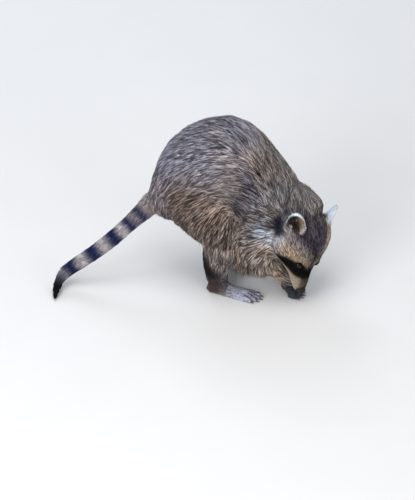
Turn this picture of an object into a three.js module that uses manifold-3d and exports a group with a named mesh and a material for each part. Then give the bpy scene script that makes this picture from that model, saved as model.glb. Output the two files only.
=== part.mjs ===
// A life-size raccoon foraging on flat ground: hind feet well forward, back arched, head hanging
// between the forelimbs and turned to its right, ringed tail swung out to the right behind it.
// Millimetres, +Z up, +X the way the trunk faces, +Y its left side. Every solid reaches out to the
// tips of the coat. Right is side -1 and left is side +1 throughout.
import * as THREE from "three";
import { mergeVertices } from "three/addons/utils/BufferGeometryUtils.js";
import Module from "manifold-3d";

const library = await Module();
library.setup();

// ---- driving dimensions -------------------------------------------------------------------------

const PARTING = 0.35; // width of every cut between two named parts
const SIDES = [-1, 1];
const SIDE_NAME = { "-1": "right", 1: "left" };

// The trunk, section by section from the tail root to the base of the neck: a point on the line of
// the back, a point on the line of the belly, the half width, and how far it bends to the left.
const TRUNK = [
  { back: [-117, 146], belly: [-104, 120], wide: 17, bend: -17 },
  { back: [-110, 174], belly: [-87, 110], wide: 35, bend: -13 },
  { back: [-101, 213], belly: [-64, 105], wide: 53, bend: -8 },
  { back: [-80, 255], belly: [-40, 108], wide: 65, bend: -3 },
  { back: [-36, 288], belly: [-8, 123], wide: 69, bend: 0 },
  { back: [17, 305], belly: [16, 134], wide: 70, bend: 0 },
  { back: [63, 289], belly: [35, 124], wide: 69, bend: 0 },
  { back: [96, 253], belly: [50, 103], wide: 67, bend: 0 },
  { back: [122, 222], belly: [66, 86], wide: 61, bend: 0 },
  { back: [142, 197], belly: [88, 79], wide: 53, bend: 0 },
  { back: [151, 175], belly: [105, 90], wide: 42, bend: -1 },
];

// The neck runs from inside the shoulders into the back of the head: centre, half width, half depth.
const NECK = [
  [98, 0, 148, 57, 61],
  [122, -1, 143, 53, 58],
  [143, -6, 136, 51, 54],
  [157, -12, 124, 38, 40],
];

// The head, from the nose backwards: distance behind the nose, half width, height of the top and of
// the underside over the line from the nose to the nape, and the height where it is widest.
const HEAD = [
  [3, 7, 5.5, -9, -1],
  [9, 11.5, 9, -12.5, -2],
  [19, 15.5, 13, -15, -3],
  [31, 19.5, 17, -17, -3],
  [43, 27, 23, -19, -3],
  [54, 38, 32, -22, -3],
  [67, 52, 40, -27, -4],
  [84, 64, 46, -34, -5],
  [101, 66, 47, -40, -5],
  [119, 59, 43, -44, -6],
  [137, 44, 34, -42, -5],
  [153, 28, 18, -30, -6],
];
const NOSE_TIP = new THREE.Vector3(159, -49, 22);
const HEAD_TURN = new THREE.Euler(-0.7452, 1.2078, -1.1955, "ZYX"); // roll, pitch and yaw of the head

const EYE_RADIUS = 7.2;
const EYE_AT = [50.5, 20.5, 16.5]; // behind the nose, out from the middle, up
const NOSE_PAD = { long: 6.5, wide: 9, high: 6.8, at: [2.5, 0, 0.5] };

// Half sizes of the ear, how much narrower its tip is than its root, and its hollow: how thick the
// rim stays, how far the hollow is pushed out of the front, and how much of the ear is buried.
const EAR = { tall: 24.5, wide: 17, thick: 8, taper: 0.22, rim: 3.2, hollow: 6.5, raised: 0.55 };
const EAR_ROOT = [110, 39.5, 27.5]; // behind the nose, out from the middle, up
const EAR_LINE = [-0.85, 0.3, 0.43]; // from root to tip, seen on the left ear
const EAR_OPENING = [0.59, 0.68, 0.43]; // the way its hollow faces

// Limb tubes: centre, half width across the body, half depth fore and aft. Given for the left side.
const THIGH = [
  [-62, 14, 190, 24, 26],
  [-50, 40, 180, 36, 48],
  [-16, 54, 154, 35, 51],
  [16, 58, 129, 31, 43],
  [33, 57, 114, 25, 31],
  [43, 56, 105, 13, 17],
];
const SHANK_TOP = [
  [38, 57, 130, 17, 21],
  [32, 56, 114, 25, 35],
];
const SHANK_FOOT = [
  [20, 6, 82, 24.5, 30],
  [14, 2, 55, 22, 26],
  [12, 0, 33, 16.5, 20],
  [14, 0, 19, 12, 15],
]; // forward of the heel, outside it, up, half width, half depth
const UPPER_ARM = [
  [98, 40, 168, 26, 28],
  [97, 50, 148, 31, 39],
  [89, 54, 118, 29, 39],
  [82, 54, 90, 25.5, 38],
  [69, 53, 69, 20, 31],
  [65, 52, 56, 13, 20],
];

const ELBOW = [84, 52, 68];
const FOREARM = [
  [-0.2, 0, 12, 14],
  [0, 0, 20, 22],
  [0.3, 5, 18, 19],
  [0.6, 9, 14, 14.5],
  [0.83, 8, 11.5, 11.5],
  [1, 1, 9.5, 10],
]; // share of the way from elbow to wrist, bow of the arm, half width, half depth
const WRIST = [6, 24]; // ahead of the heel of the hand and over the ground

// A foot that faces forwards, from its heel: forward, half width, height of its underside and top.
// What would lie under the ground is pressed flat on it.
const HIND_FOOT = {
  rows: [
    [-2, 7, 0, 13],
    [4, 12, -6, 23],
    [18, 14.5, -9, 30],
    [34, 14, -7, 16],
    [51, 16.5, -5, 12.5],
    [67, 18.5, -5, 11],
    [77, 15.5, -1, 9],
  ],
  toes: { from: 62, spread: 15.5, fan: 0.26, lengths: [17, 25, 28, 26, 20], thick: 5.2, thin: 3.9 },
  claw: 7,
};
const FORE_FOOT = {
  rows: [
    [0, 8, 21, 33],
    [6, 10.5, 13, 31],
    [12, 12, 6, 25],
    [19, 13, -6, 18],
    [27, 11.5, -3, 11],
  ],
  toes: { from: 19, spread: 12, fan: 0.4, lengths: [12, 16, 18, 17, 13], thick: 4.4, thin: 3.2 },
  claw: 5.5,
};
// A toe and its claw: share of the length, then the height of the middle and the half thickness.
const TOE = [
  [-0.3, 0.6, 0.8],
  [0, 0.8, 1],
  [0.4, 0.95, 0.95],
  [0.8, 0.72, 0.9],
  [1, 0.72, 0.55],
];
const CLAW = [
  [0, 0.78, 0.4],
  [0.5, 0.72, 0.3],
  [1, 0.36, 0.1],
];
const CLAW_DEPTH = 1.35; // how much deeper than wide a claw is

// Where each foot stands: the back of its sole, and how far its toes turn out to the left.
const STANCE = {
  hind: { "-1": { at: [0, -46], turn: -0.14 }, 1: { at: [-20, 38], turn: -0.04 } },
  fore: { "-1": { at: [119, -28], turn: 0.02 }, 1: { at: [104, 22], turn: -0.3 } },
};

// The tail: centre and radius, from inside the rump to the tip of its last hairs.
const TAIL = [
  [-91, -6, 147.5, 18.5],
  [-107, -18, 135.5, 17.5],
  [-124, -37, 120, 15],
  [-145, -56, 100, 13.5],
  [-170, -72, 77, 13.5],
  [-199, -85, 53, 12.5],
  [-225, -93, 33, 11.5],
  [-243, -110, 20, 9],
  [-242, -134, 10, 4.5],
  [-238, -154, 4.5, 1.2],
];
const TAIL_ROWS = TAIL.map(([x, y, z, radius]) => [x, y, z, radius, radius]);

// Where the flesh is parted: planes through a point, facing towards the next piece.
const TRUNK_CUTS = [
  { name: "rump", at: [-38, 0, 190], ahead: [0.8, 0, 0.6] },
  { name: "loin", at: [48, 0, 205], ahead: [0.9, 0, -0.44] },
  { name: "chest", at: [112, 0, 135], ahead: [0.91, 0, -0.41] },
];
const TAIL_CUTS = [0.3, 0.5, 0.72]; // shares of the tail's length
const KNEE_CUT = { at: [20, 0, 96], ahead: [0.15, 0, 0.99] };
const ANKLE_CUT = { at: [0, 0, 27], ahead: [0, 0, 1] };
const ELBOW_CUT = { at: [92, 0, 60], ahead: [-0.6, 0, 0.8] };
const WRIST_CUT = { under: 1, ahead: [-0.75, 0, 0.66] }; // a little below the wrist

// How finely each part is faceted: steps along it and sides around it.
const FACETS = {
  trunk: [14, 16],
  neck: [4, 14],
  head: [14, 18],
  eye: [7, 10],
  nose: [7, 11],
  ear: [7, 12],
  thigh: [6, 13],
  shank: [6, 11],
  upperArm: [5, 11],
  forearm: [5, 9],
  foot: [0, 8],
  toe: [3, 5],
  claw: [2, 4],
  tail: [18, 10],
};

// ---- making solids ------------------------------------------------------------------------------

const LEFT = new THREE.Vector3(0, 1, 0);
const UP = new THREE.Vector3(0, 0, 1);

function solid(geometry) {
  const bare = geometry.index ? geometry.toNonIndexed() : geometry.clone();
  bare.deleteAttribute("normal");
  bare.deleteAttribute("uv");
  const merged = mergeVertices(bare, 1e-3);
  const mesh = new library.Mesh({
    numProp: 3,
    vertProperties: merged.attributes.position.array,
    triVerts: new Uint32Array(merged.index.array),
  });
  return new library.Manifold(mesh);
}

const joined = (solids) => solids.reduce((all, one) => all.add(one));

// Numbers between the rows of a table, on a smooth curve through them.
function between(rows, share) {
  const along = share * (rows.length - 1);
  const first = Math.min(Math.floor(along), rows.length - 2);
  const f = along - first;
  const row = (k) => rows[THREE.MathUtils.clamp(k, 0, rows.length - 1)];
  return rows[first].map((_, n) => {
    const [a, b, c, d] = [-1, 0, 1, 2].map((k) => row(first + k)[n]);
    return b + 0.5 * f * (c - a + f * (2 * a - 5 * b + 4 * c - d + f * (3 * (b - c) + d - a)));
  });
}

// A closed skin over a row of rings, each ring counter-clockwise about the way the row runs.
function loft(rings) {
  const count = rings[0].length;
  const middle = (ring) => ring.reduce((sum, p) => sum.add(p), new THREE.Vector3()).divideScalar(count);
  const points = [...rings.flat(), middle(rings[0]), middle(rings.at(-1))];
  const faces = [];
  for (let i = 0; i < rings.length - 1; i++)
    for (let j = 0; j < count; j++) {
      const [a, b] = [i * count + j, i * count + ((j + 1) % count)];
      faces.push(a, b, b + count, a, b + count, a + count);
    }
  const last = (rings.length - 1) * count;
  for (let j = 0; j < count; j++) {
    const next = (j + 1) % count;
    faces.push(points.length - 2, next, j, points.length - 1, last + j, last + next);
  }
  const geometry = new THREE.BufferGeometry().setFromPoints(points);
  geometry.setIndex(faces);
  return solid(geometry);
}

// One ring: an oval about a centre, `up` and `down` high above and below its widest line.
function oval(centre, sideways, upwards, wide, up, down, sides) {
  return Array.from({ length: sides }, (_, j) => {
    const angle = (j / sides) * 2 * Math.PI;
    const high = Math.sin(angle) > 0 ? up : down;
    return centre
      .clone()
      .addScaledVector(sideways, Math.cos(angle) * wide)
      .addScaledVector(upwards, Math.sin(angle) * high);
  });
}

// A tube along rows of [x, y, z, half width, half depth]. Nothing of it passes below `low`.
function tube(rows, [steps, sides], grow = 0, low = -Infinity) {
  const path = (share) => new THREE.Vector3(...between(rows, share));
  const rings = [];
  for (let i = 0; i <= steps; i++) {
    const share = i / steps;
    const ahead = path(Math.min(share + 0.01, 1)).sub(path(Math.max(share - 0.01, 0))).normalize();
    const sideways = LEFT.clone().addScaledVector(ahead, -ahead.y).normalize();
    const upwards = ahead.clone().cross(sideways);
    const [, , , wide, deep] = between(rows, share);
    const overrun = i === 0 ? -grow : i === steps ? grow : 0;
    const centre = path(share).addScaledVector(ahead, overrun);
    const ring = oval(centre, sideways, upwards, wide + grow, deep + grow, deep + grow, sides);
    rings.push(ring.map((point) => point.setZ(Math.max(point.z, low))));
  }
  return loft(rings);
}

// An egg-shaped solid of the given half sizes, first shaped about the origin and then placed.
function egg(halfSizes, [steps, sides], place, taper = 0, shift = 0) {
  const geometry = new THREE.SphereGeometry(1, sides, steps).rotateX(Math.PI / 2);
  const position = geometry.attributes.position;
  for (let i = 0; i < position.count; i++)
    position.setX(i, position.getX(i) * (1 - taper * position.getZ(i)));
  return solid(geometry.scale(...halfSizes).translate(0, shift, 0).applyMatrix4(place));
}

// Parts a solid with a thin flat cut. Returns what lies behind the cut and what lies ahead of it.
function parted(whole, { at, ahead }) {
  const reach = 400; // more than any part's size
  const turn = new THREE.Quaternion().setFromUnitVectors(UP, new THREE.Vector3(...ahead).normalize());
  const half = (way) =>
    solid(
      new THREE.BoxGeometry(2 * reach, 2 * reach, reach)
        .translate(0, 0, (way * (reach - PARTING)) / 2)
        .applyQuaternion(turn)
        .translate(...at),
    );
  return [whole.subtract(half(1)), whole.subtract(half(-1))];
}

// ---- the trunk and neck -------------------------------------------------------------------------

function makeTrunk() {
  const [steps, sides] = FACETS.trunk;
  const rows = TRUNK.map(({ back, belly, wide, bend }) => [...back, ...belly, wide, bend]);
  const rings = [];
  for (let i = 0; i <= steps; i++) {
    const [backX, backZ, bellyX, bellyZ, wide, bend] = between(rows, i / steps);
    const centre = new THREE.Vector3((backX + bellyX) / 2, bend, (backZ + bellyZ) / 2);
    const upwards = new THREE.Vector3(backX - bellyX, 0, backZ - bellyZ);
    const deep = upwards.length() / 2;
    upwards.normalize();
    rings.push(oval(centre, LEFT, upwards, wide, deep, deep, sides));
  }
  return loft(rings);
}

const makeNeck = () => tube(NECK, FACETS.neck);

// ---- the head -----------------------------------------------------------------------------------

// From places on the head, counted behind the nose, to the left and up, to places on the body.
const headPlace = new THREE.Matrix4().makeRotationFromEuler(HEAD_TURN).setPosition(NOSE_TIP);
const onHead = (behind, left, up) => new THREE.Vector3(-behind, left, up).applyMatrix4(headPlace);
const alongHead = (ahead, left, up) =>
  new THREE.Vector3(ahead, left, up).normalize().transformDirection(headPlace);

function makeHead(grow = 0) {
  const [steps, sides] = FACETS.head;
  const sideways = alongHead(0, 1, 0).negate();
  const upwards = alongHead(0, 0, 1);
  const rings = [];
  for (let i = 0; i <= steps; i++) {
    const [behind, wide, top, bottom, level] = between(HEAD, i / steps);
    const [up, down] = [top - level + grow, level - bottom + grow];
    rings.push(oval(onHead(behind, 0, level), sideways, upwards, wide + grow, up, down, sides));
  }
  return loft(rings);
}

// The head's axes moved to a point on it, so that a shape made about the origin can be placed there.
const placedOnHead = ([behind, left, up]) => headPlace.clone().setPosition(onHead(behind, left, up));

function makeEye(side, grow = 0) {
  const [behind, out, up] = EYE_AT;
  const radius = EYE_RADIUS + grow;
  return egg([radius, radius, radius], FACETS.eye, placedOnHead([behind, side * out, up]));
}

function makeNose(grow = 0) {
  const { long, wide, high, at } = NOSE_PAD;
  return egg([long + grow, wide + grow, high + grow], FACETS.nose, placedOnHead(at));
}

// A rounded leaf with a hollow on the side that its opening faces.
function makeEar(side) {
  const { tall, wide, thick, taper, rim, hollow, raised } = EAR;
  const line = alongHead(EAR_LINE[0], side * EAR_LINE[1], EAR_LINE[2]);
  const opening = alongHead(EAR_OPENING[0], side * EAR_OPENING[1], EAR_OPENING[2]);
  opening.addScaledVector(line, -opening.dot(line)).normalize();
  const root = onHead(EAR_ROOT[0], side * EAR_ROOT[1], EAR_ROOT[2]);
  const place = new THREE.Matrix4()
    .makeBasis(opening.clone().cross(line), opening, line)
    .setPosition(root.addScaledVector(line, tall * raised));
  const leaf = egg([wide, thick, tall], FACETS.ear, place, taper);
  return leaf.subtract(egg([wide - rim, thick - rim / 2, tall - rim], FACETS.ear, place, taper, hollow));
}

// ---- feet, claws and limbs ----------------------------------------------------------------------

function wristOf(side) {
  const { at, turn } = STANCE.fore[side];
  return [at[0] + WRIST[0] * Math.cos(turn), at[1] + WRIST[0] * Math.sin(turn), WRIST[1]];
}

// Turns a shape made at the heel, facing forwards, into its place on the ground.
const standing = ({ at, turn }) =>
  new THREE.Matrix4().makeRotationZ(turn).setPosition(new THREE.Vector3(at[0], at[1], 0));

// Each toe's root, heading and length on a foot that faces forwards. The first toe is the inner one.
function toesOf(foot, side) {
  const { from, spread, fan, lengths } = foot.toes;
  return lengths.map((length, k) => {
    const across = k / 2 - 1; // from -1 at the inner toe to 1 at the outer one
    return { root: [from, side * across * spread * 0.72], heading: side * across * fan, length };
  });
}

function toeRows(foot, { root, heading, length }) {
  const { thick, thin } = foot.toes;
  return TOE.map(([share, height, girth]) => {
    const radius = THREE.MathUtils.lerp(thick, thin, Math.max(share, 0)) * girth;
    const reach = share * length;
    return [
      root[0] + reach * Math.cos(heading),
      root[1] + reach * Math.sin(heading),
      thin * height,
      radius,
      radius,
    ];
  });
}

function makeFoot(foot, side, stand) {
  const rings = foot.rows.map(([ahead, wide, low, high]) => {
    const level = low + (high - low) * 0.35;
    const centre = new THREE.Vector3(ahead, 0, level);
    const ring = oval(centre, LEFT, UP, wide, high - level, level - low, FACETS.foot[1]);
    return ring.map((point) => point.setZ(Math.max(point.z, 0)));
  });
  const toes = toesOf(foot, side).map((toe) => tube(toeRows(foot, toe), FACETS.toe, 0, 0));
  return joined([loft(rings), ...toes]).transform(standing(stand).elements);
}

// A short hooked claw, standing just clear of the end of its toe.
function makeClaw(foot, toe, stand) {
  const { thin } = foot.toes;
  const rows = CLAW.map(([share, height, girth]) => {
    const reach = toe.length + 2 * PARTING + share * foot.claw;
    return [
      toe.root[0] + reach * Math.cos(toe.heading),
      toe.root[1] + reach * Math.sin(toe.heading),
      height * thin,
      girth * thin,
      girth * CLAW_DEPTH * thin,
    ];
  });
  return tube(rows, FACETS.claw).transform(standing(stand).elements);
}

const mirrored = (rows, side) => rows.map(([x, y, ...rest]) => [x, side * y, ...rest]);

function hindLimb(side, grow = 0) {
  const [heelX, heelY] = STANCE.hind[side].at;
  const lower = SHANK_FOOT.map(([ahead, out, ...rest]) => [heelX + ahead, heelY + side * out, ...rest]);
  const shank = tube([...mirrored(SHANK_TOP, side), ...lower], FACETS.shank, grow);
  return tube(mirrored(THIGH, side), FACETS.thigh, grow).add(shank);
}

function foreLimb(side, grow = 0) {
  const [elbowX, elbowY, elbowZ] = ELBOW;
  const wrist = wristOf(side);
  const reach = [wrist[0] - elbowX, wrist[1] - side * elbowY, wrist[2] - elbowZ];
  const rows = FOREARM.map(([share, lift, ...size]) => [
    elbowX + share * reach[0],
    side * elbowY + share * reach[1],
    elbowZ + share * reach[2] + lift,
    ...size,
  ]);
  const forearm = tube(rows, FACETS.forearm, grow);
  return tube(mirrored(UPPER_ARM, side), FACETS.upperArm, grow).add(forearm);
}

// ---- putting the raccoon together ---------------------------------------------------------------

const LOOKS = {
  coat: { color: 0x756f6f, roughness: 0.85 },
  legs: { color: 0x5f5450, roughness: 0.85 },
  tail: { color: 0x8d8787, roughness: 0.85 },
  face: { color: 0x8d8174, roughness: 0.85 },
  ears: { color: 0xc9c3ba, roughness: 0.85 },
  feet: { color: 0x8e9098, roughness: 0.8 },
  nose: { color: 0x17161a, roughness: 0.35 },
  eyes: { color: 0x0c0908, roughness: 0.08 },
  claws: { color: 0x3b342e, roughness: 0.4 },
};
const materials = Object.fromEntries(
  Object.entries(LOOKS).map(([name, look]) => [
    name,
    new THREE.MeshStandardMaterial({ name, metalness: 0, ...look }),
  ]),
);

// A named mesh about its own middle. Crumbs that the cuts leave behind are dropped.
function sculpted(name, look, shape) {
  const body = shape.decompose().reduce((big, one) => (one.volume() > big.volume() ? one : big));
  const { vertProperties, triVerts } = body.getMesh();
  const geometry = new THREE.BufferGeometry();
  geometry.setAttribute("position", new THREE.BufferAttribute(new Float32Array(vertProperties), 3));
  geometry.setIndex([...triVerts]);
  geometry.computeBoundingBox();
  const middle = geometry.boundingBox.getCenter(new THREE.Vector3());
  geometry.translate(-middle.x, -middle.y, -middle.z);
  geometry.computeVertexNormals();
  const mesh = new THREE.Mesh(geometry, materials[look]);
  mesh.name = name;
  mesh.position.copy(middle);
  return mesh;
}

const group = (...members) => new THREE.Group().add(...members);

function claws(limb, foot, side) {
  const stand = STANCE[limb][side];
  const label = `${limb}_claw_${SIDE_NAME[side]}`;
  return toesOf(foot, side).map((toe, k) =>
    sculpted(`${label}_${k + 1}`, "claws", makeClaw(foot, toe, stand)),
  );
}

const headRoom = makeHead(PARTING);

// A leg is one run of flesh from hip to toes, parted at the knee and above the heel.
function makeHindLeg(side) {
  const whole = hindLimb(side).add(makeFoot(HIND_FOOT, side, STANCE.hind[side]));
  const [below, upper] = parted(whole, KNEE_CUT);
  const [paw, lower] = parted(below, ANKLE_CUT);
  const name = SIDE_NAME[side];
  return group(
    sculpted(`thigh_${name}`, "coat", upper),
    sculpted(`shank_${name}`, "legs", lower),
    sculpted(`hind_foot_${name}`, "feet", paw),
    ...claws("hind", HIND_FOOT, side),
  );
}

function makeForeLeg(side) {
  const whole = foreLimb(side)
    .add(makeFoot(FORE_FOOT, side, STANCE.fore[side]))
    .subtract(headRoom)
    .subtract(hindLimb(side, PARTING));
  const [below, upper] = parted(whole, ELBOW_CUT);
  const [x, y, z] = wristOf(side);
  const { under, ahead } = WRIST_CUT;
  const [paw, lower] = parted(below, { at: [x, y, z - under], ahead });
  const name = SIDE_NAME[side];
  return group(
    sculpted(`upper_arm_${name}`, "coat", upper),
    sculpted(`forearm_${name}`, "legs", lower),
    sculpted(`hand_${name}`, "feet", paw),
    ...claws("fore", FORE_FOOT, side),
  );
}

const wholeTail = (grow = 0) => tube(TAIL_ROWS, FACETS.tail, grow);

function makeTail() {
  const point = (share) => new THREE.Vector3(...between(TAIL_ROWS, share));
  const step = 0.02; // a short share of the tail, to find the way it runs
  let rest = wholeTail();
  const lengths = TAIL_CUTS.map((share) => {
    const ahead = point(share + step).sub(point(share - step));
    const [done, left] = parted(rest, { at: point(share), ahead });
    rest = left;
    return done;
  });
  return group(...[...lengths, rest].map((length, k) => sculpted(`tail_${k + 1}`, "tail", length)));
}

function makeTrunkPieces() {
  const limbs = SIDES.flatMap((side) => [hindLimb(side, PARTING), foreLimb(side, PARTING)]);
  const room = joined([...limbs, headRoom, wholeTail(PARTING)]);
  let rest = makeTrunk().add(makeNeck()).subtract(room);
  const pieces = TRUNK_CUTS.map(({ name, ...cut }) => {
    const [done, left] = parted(rest, cut);
    rest = left;
    return sculpted(name, "coat", done);
  });
  return group(...pieces, sculpted("neck", "coat", rest));
}

function makeHeadPieces() {
  const sockets = joined([makeNose(PARTING), ...SIDES.map((side) => makeEye(side, PARTING))]);
  const skull = makeHead().subtract(sockets);
  const sides = SIDES.flatMap((side) => [
    sculpted(`eye_${SIDE_NAME[side]}`, "eyes", makeEye(side)),
    sculpted(`ear_${SIDE_NAME[side]}`, "ears", makeEar(side).subtract(headRoom)),
  ]);
  return group(sculpted("head", "face", skull), sculpted("nose", "nose", makeNose()), ...sides);
}

const raccoon = group(
  makeHeadPieces(),
  makeTrunkPieces(),
  makeTail(),
  ...SIDES.flatMap((side) => [makeHindLeg(side), makeForeLeg(side)]),
);

// The origin is under the middle of the animal's box, on the ground.
const box = new THREE.Box3().setFromObject(raccoon, true);
raccoon.position.set(-(box.min.x + box.max.x) / 2, -(box.min.y + box.max.y) / 2, -box.min.z);

export default raccoon;
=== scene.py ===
# %% [markdown]
# # Raccoon, a life-size still model
# A museum's raccoon is a carved body with one skin over it and the hair on the skin.
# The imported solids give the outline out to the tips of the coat. Here one skin is laid inside them,
# and the coat, eyes, nose and whiskers are built over it.
# Lengths are in millimetres until a mesh is made, because an animal is easier to think of that way.

# %% Load the frame
import math

import bmesh
import bpy
import numpy as np
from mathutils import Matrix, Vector
from mathutils.bvhtree import BVHTree
from mathutils.kdtree import KDTree


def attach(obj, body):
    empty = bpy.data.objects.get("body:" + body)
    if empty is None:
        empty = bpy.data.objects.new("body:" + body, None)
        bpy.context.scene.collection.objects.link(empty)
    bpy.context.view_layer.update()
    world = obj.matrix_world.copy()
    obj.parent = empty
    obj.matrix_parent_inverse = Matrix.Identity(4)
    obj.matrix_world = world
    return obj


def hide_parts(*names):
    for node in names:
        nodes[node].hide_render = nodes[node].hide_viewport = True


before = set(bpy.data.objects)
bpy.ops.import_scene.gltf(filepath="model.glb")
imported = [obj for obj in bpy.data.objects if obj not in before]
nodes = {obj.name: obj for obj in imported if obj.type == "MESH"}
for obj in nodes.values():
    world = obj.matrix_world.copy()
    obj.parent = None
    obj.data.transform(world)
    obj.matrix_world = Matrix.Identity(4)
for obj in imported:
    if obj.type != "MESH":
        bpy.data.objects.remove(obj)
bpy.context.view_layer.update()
MM = 0.001
rng = np.random.default_rng(7)

# %% [markdown]
# ## Sizes
# A raccoon's coat is deep on the trunk and tail and almost nothing on the muzzle and feet.
# The depth could be brushed on the mesh by hand, but a table by body part is easier to read.
# Each row gives how deep the skin lies under the coat's surface, the length of a tuft and its width.
# The head has its own rule further down, because there the coat changes within a few centimetres.

# %% Coat table
COAT = {
    "head": (3.0, 9.0, 1.0),
    "ear": (0.7, 2.8, 0.55),
    "neck": (8.0, 20.0, 1.1),
    "chest": (9.5, 22.0, 1.2),
    "loin": (9.5, 22.0, 1.2),
    "rump": (10.0, 23.0, 1.2),
    "tail": (6.5, 20.0, 1.3),
    "thigh": (8.0, 21.0, 1.2),
    "shank": (4.0, 16.0, 1.1),
    "hind_foot": (0.8, 4.5, 0.7),
    "upper_arm": (7.0, 21.0, 1.1),
    "forearm": (3.4, 11.0, 0.9),
    "hand": (0.7, 4.0, 0.8),
}
SIGN = {"right": -1, "left": 1}
FLESH = sorted(n for n in nodes if "claw" not in n and "eye" not in n and n != "nose")


def kind(node):
    """The row of the coat table that a node reads."""
    return next(k for k in sorted(COAT, key=len, reverse=True) if node.startswith(k))


kinds = np.array([kind(n) for n in FLESH])
print({n: COAT[kind(n)] for n in FLESH[:6]})

# %% [markdown]
# ## Bones of the pose
# The lie of a coat follows the animal's own lines: nose to tail along the trunk, and down each leg.
# They could be drawn by hand. They are read from where neighbouring solids meet instead, so they
# follow any change in the solids.

# %% Points and meetings
MEETING_REACH = 3.0


def points_of(node):
    """The vertices of a solid, in millimetres."""
    mesh = nodes[node].data
    flat = np.empty(len(mesh.vertices) * 3, np.float32)
    mesh.vertices.foreach_get("co", flat)
    return flat.reshape(-1, 3).astype(float) / MM


def unit(v):
    """The same direction with length one, for one vector or many."""
    return v / np.maximum(np.linalg.norm(v, axis=-1, keepdims=True), 1e-9)


def meeting(a, b):
    """The middle of the face of one solid that looks at its neighbour."""
    gap = np.linalg.norm(points[a][:, None] - points[b][None], axis=2).min(1)
    return points[a][gap < gap.min() + MEETING_REACH].mean(0)


points = {n: points_of(n) for n in nodes}
middle = {n: (p.min(0) + p.max(0)) / 2 for n, p in points.items()}
print("points", sum(len(p) for p in points.values()))

# %% [markdown]
# ## Spine and limbs
# The spine runs from the nose through each meeting to the tail's end, and each limb has two bends.
# An armature could hold the same lines, but nothing here will move, so pairs of points are enough.

# %% Bones
SPINE = ["head", "neck", "chest", "loin", "rump", "tail_1", "tail_2", "tail_3", "tail_4"]
LIMBS = [
    ("thigh", "shank", "hind_foot", "hind_claw"),
    ("upper_arm", "forearm", "hand", "fore_claw"),
]
joints = [meeting(a, b) for a, b in zip(SPINE, SPINE[1:])]
tail_end = points["tail_4"][np.argmin(points["tail_4"][:, 2])]
spine = np.array([middle["nose"], *joints, tail_end])
bone = {n: (spine[i], spine[i + 1]) for i, n in enumerate(SPINE)}
for side in SIGN:
    for upper, lower, foot, claw in LIMBS:
        upper, lower, foot = f"{upper}_{side}", f"{lower}_{side}", f"{foot}_{side}"
        knee = meeting(upper, lower)
        ankle = meeting(lower, foot)
        tips = np.mean([middle[f"{claw}_{side}_{k}"] for k in range(1, 6)], axis=0)
        bone[upper] = (2 * middle[upper] - knee, knee)
        bone[lower] = (knee, ankle)
        bone[foot] = (ankle, tips)
    root = meeting(f"ear_{side}", "head")
    bone[f"ear_{side}"] = (root, 2 * middle[f"ear_{side}"] - root)
print("spine in mm", np.round(spine).tolist())

# %% [markdown]
# ## The head's own axes
# The head hangs down and turns, so its folds, mask and nose are placed in axes of its own.
# Angles read by eye would drift, so the axes come from the eyes, ears and nose: forward along the
# muzzle, to the animal's left, and dorsal.
# A place is then told as so far behind the nose's tip, so far to the left and so far up.

# %% Head axes
EYE_BEHIND = 48.0
EYE_RISE = 16.5
NOSE_HALF = 2.5

left_axis = unit(
    middle["eye_left"] - middle["eye_right"] + middle["ear_left"] - middle["ear_right"]
)
between_eyes = (middle["eye_left"] + middle["eye_right"]) / 2
slope = middle["nose"] - between_eyes
slope = unit(slope - (slope @ left_axis) * left_axis)
dorsal_of_slope = np.cross(slope, left_axis)
drop = math.atan2(EYE_RISE, EYE_BEHIND)
forward = unit(slope * math.cos(drop) + dorsal_of_slope * math.sin(drop))
dorsal = np.cross(forward, left_axis)
nose_tip = middle["nose"] + forward * NOSE_HALF


def in_head(p):
    """Millimetres behind the nose's tip, to the animal's left, and up, of points in the frame."""
    d = np.atleast_2d(p) - nose_tip
    return np.stack([-d @ forward, d @ left_axis, d @ dorsal], axis=1)


def from_head(behind, left, up):
    """The point of the frame at a place told in the head's axes."""
    return nose_tip - behind * forward + left * left_axis + up * dorsal


def mirrored(place):
    """Places with the sideways part taken without its sign, so that one side stands for both."""
    return np.stack([place[:, 0], np.abs(place[:, 1]), place[:, 2]], 1)


print("forward", np.round(forward, 3), "dorsal", np.round(dorsal, 3))
print("eyes", np.round(in_head(middle["eye_left"])), np.round(in_head(middle["eye_right"])))

# %% [markdown]
# ## A camera to look with
# The view is from above and in front of the flank. A short lens would swell whatever is nearer,
# so a long one is used from far off, which keeps the proportions true.

# %% Camera
TURN = math.radians(16.0)
LOOK_DOWN = math.radians(30.0)
FRAME_HEIGHT = 0.84
DISTANCE = 14.0
SENSOR = 36.0
AIM_ASIDE = 156.0
AIM_ABOVE = 66.7
SEES_TO = 60

right_way = Vector((math.cos(TURN), math.sin(TURN), 0))
to_camera = Vector(
    (
        math.sin(TURN) * math.cos(LOOK_DOWN),
        -math.cos(TURN) * math.cos(LOOK_DOWN),
        math.sin(LOOK_DOWN),
    )
)
up_way = to_camera.cross(right_way)
nose_at = Vector(middle["nose"])
aim_aside = (nose_at.dot(right_way) - AIM_ASIDE) * MM
aim_above = (nose_at.dot(up_way) + AIM_ABOVE) * MM
aim = right_way * aim_aside + up_way * aim_above

camera_data = bpy.data.cameras.new("camera")
camera_data.sensor_width = SENSOR
camera_data.lens = SENSOR * DISTANCE / FRAME_HEIGHT
camera_data.clip_end = SEES_TO
camera = bpy.data.objects.new("camera", camera_data)
camera.location = aim + to_camera * DISTANCE
camera.rotation_mode = "QUATERNION"
camera.rotation_quaternion = (-to_camera).to_track_quat("-Z", "Y")
bpy.context.scene.collection.objects.link(camera)
bpy.context.scene.camera = camera
print("lens", round(camera_data.lens), "mm at", DISTANCE, "m")

# %% [markdown]
# ## Room to stand in
# Fur shows its depth in soft light with a cool rim from behind. One sun would cut hard shadows,
# so a plain pale floor and four broad panels are used.

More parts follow.
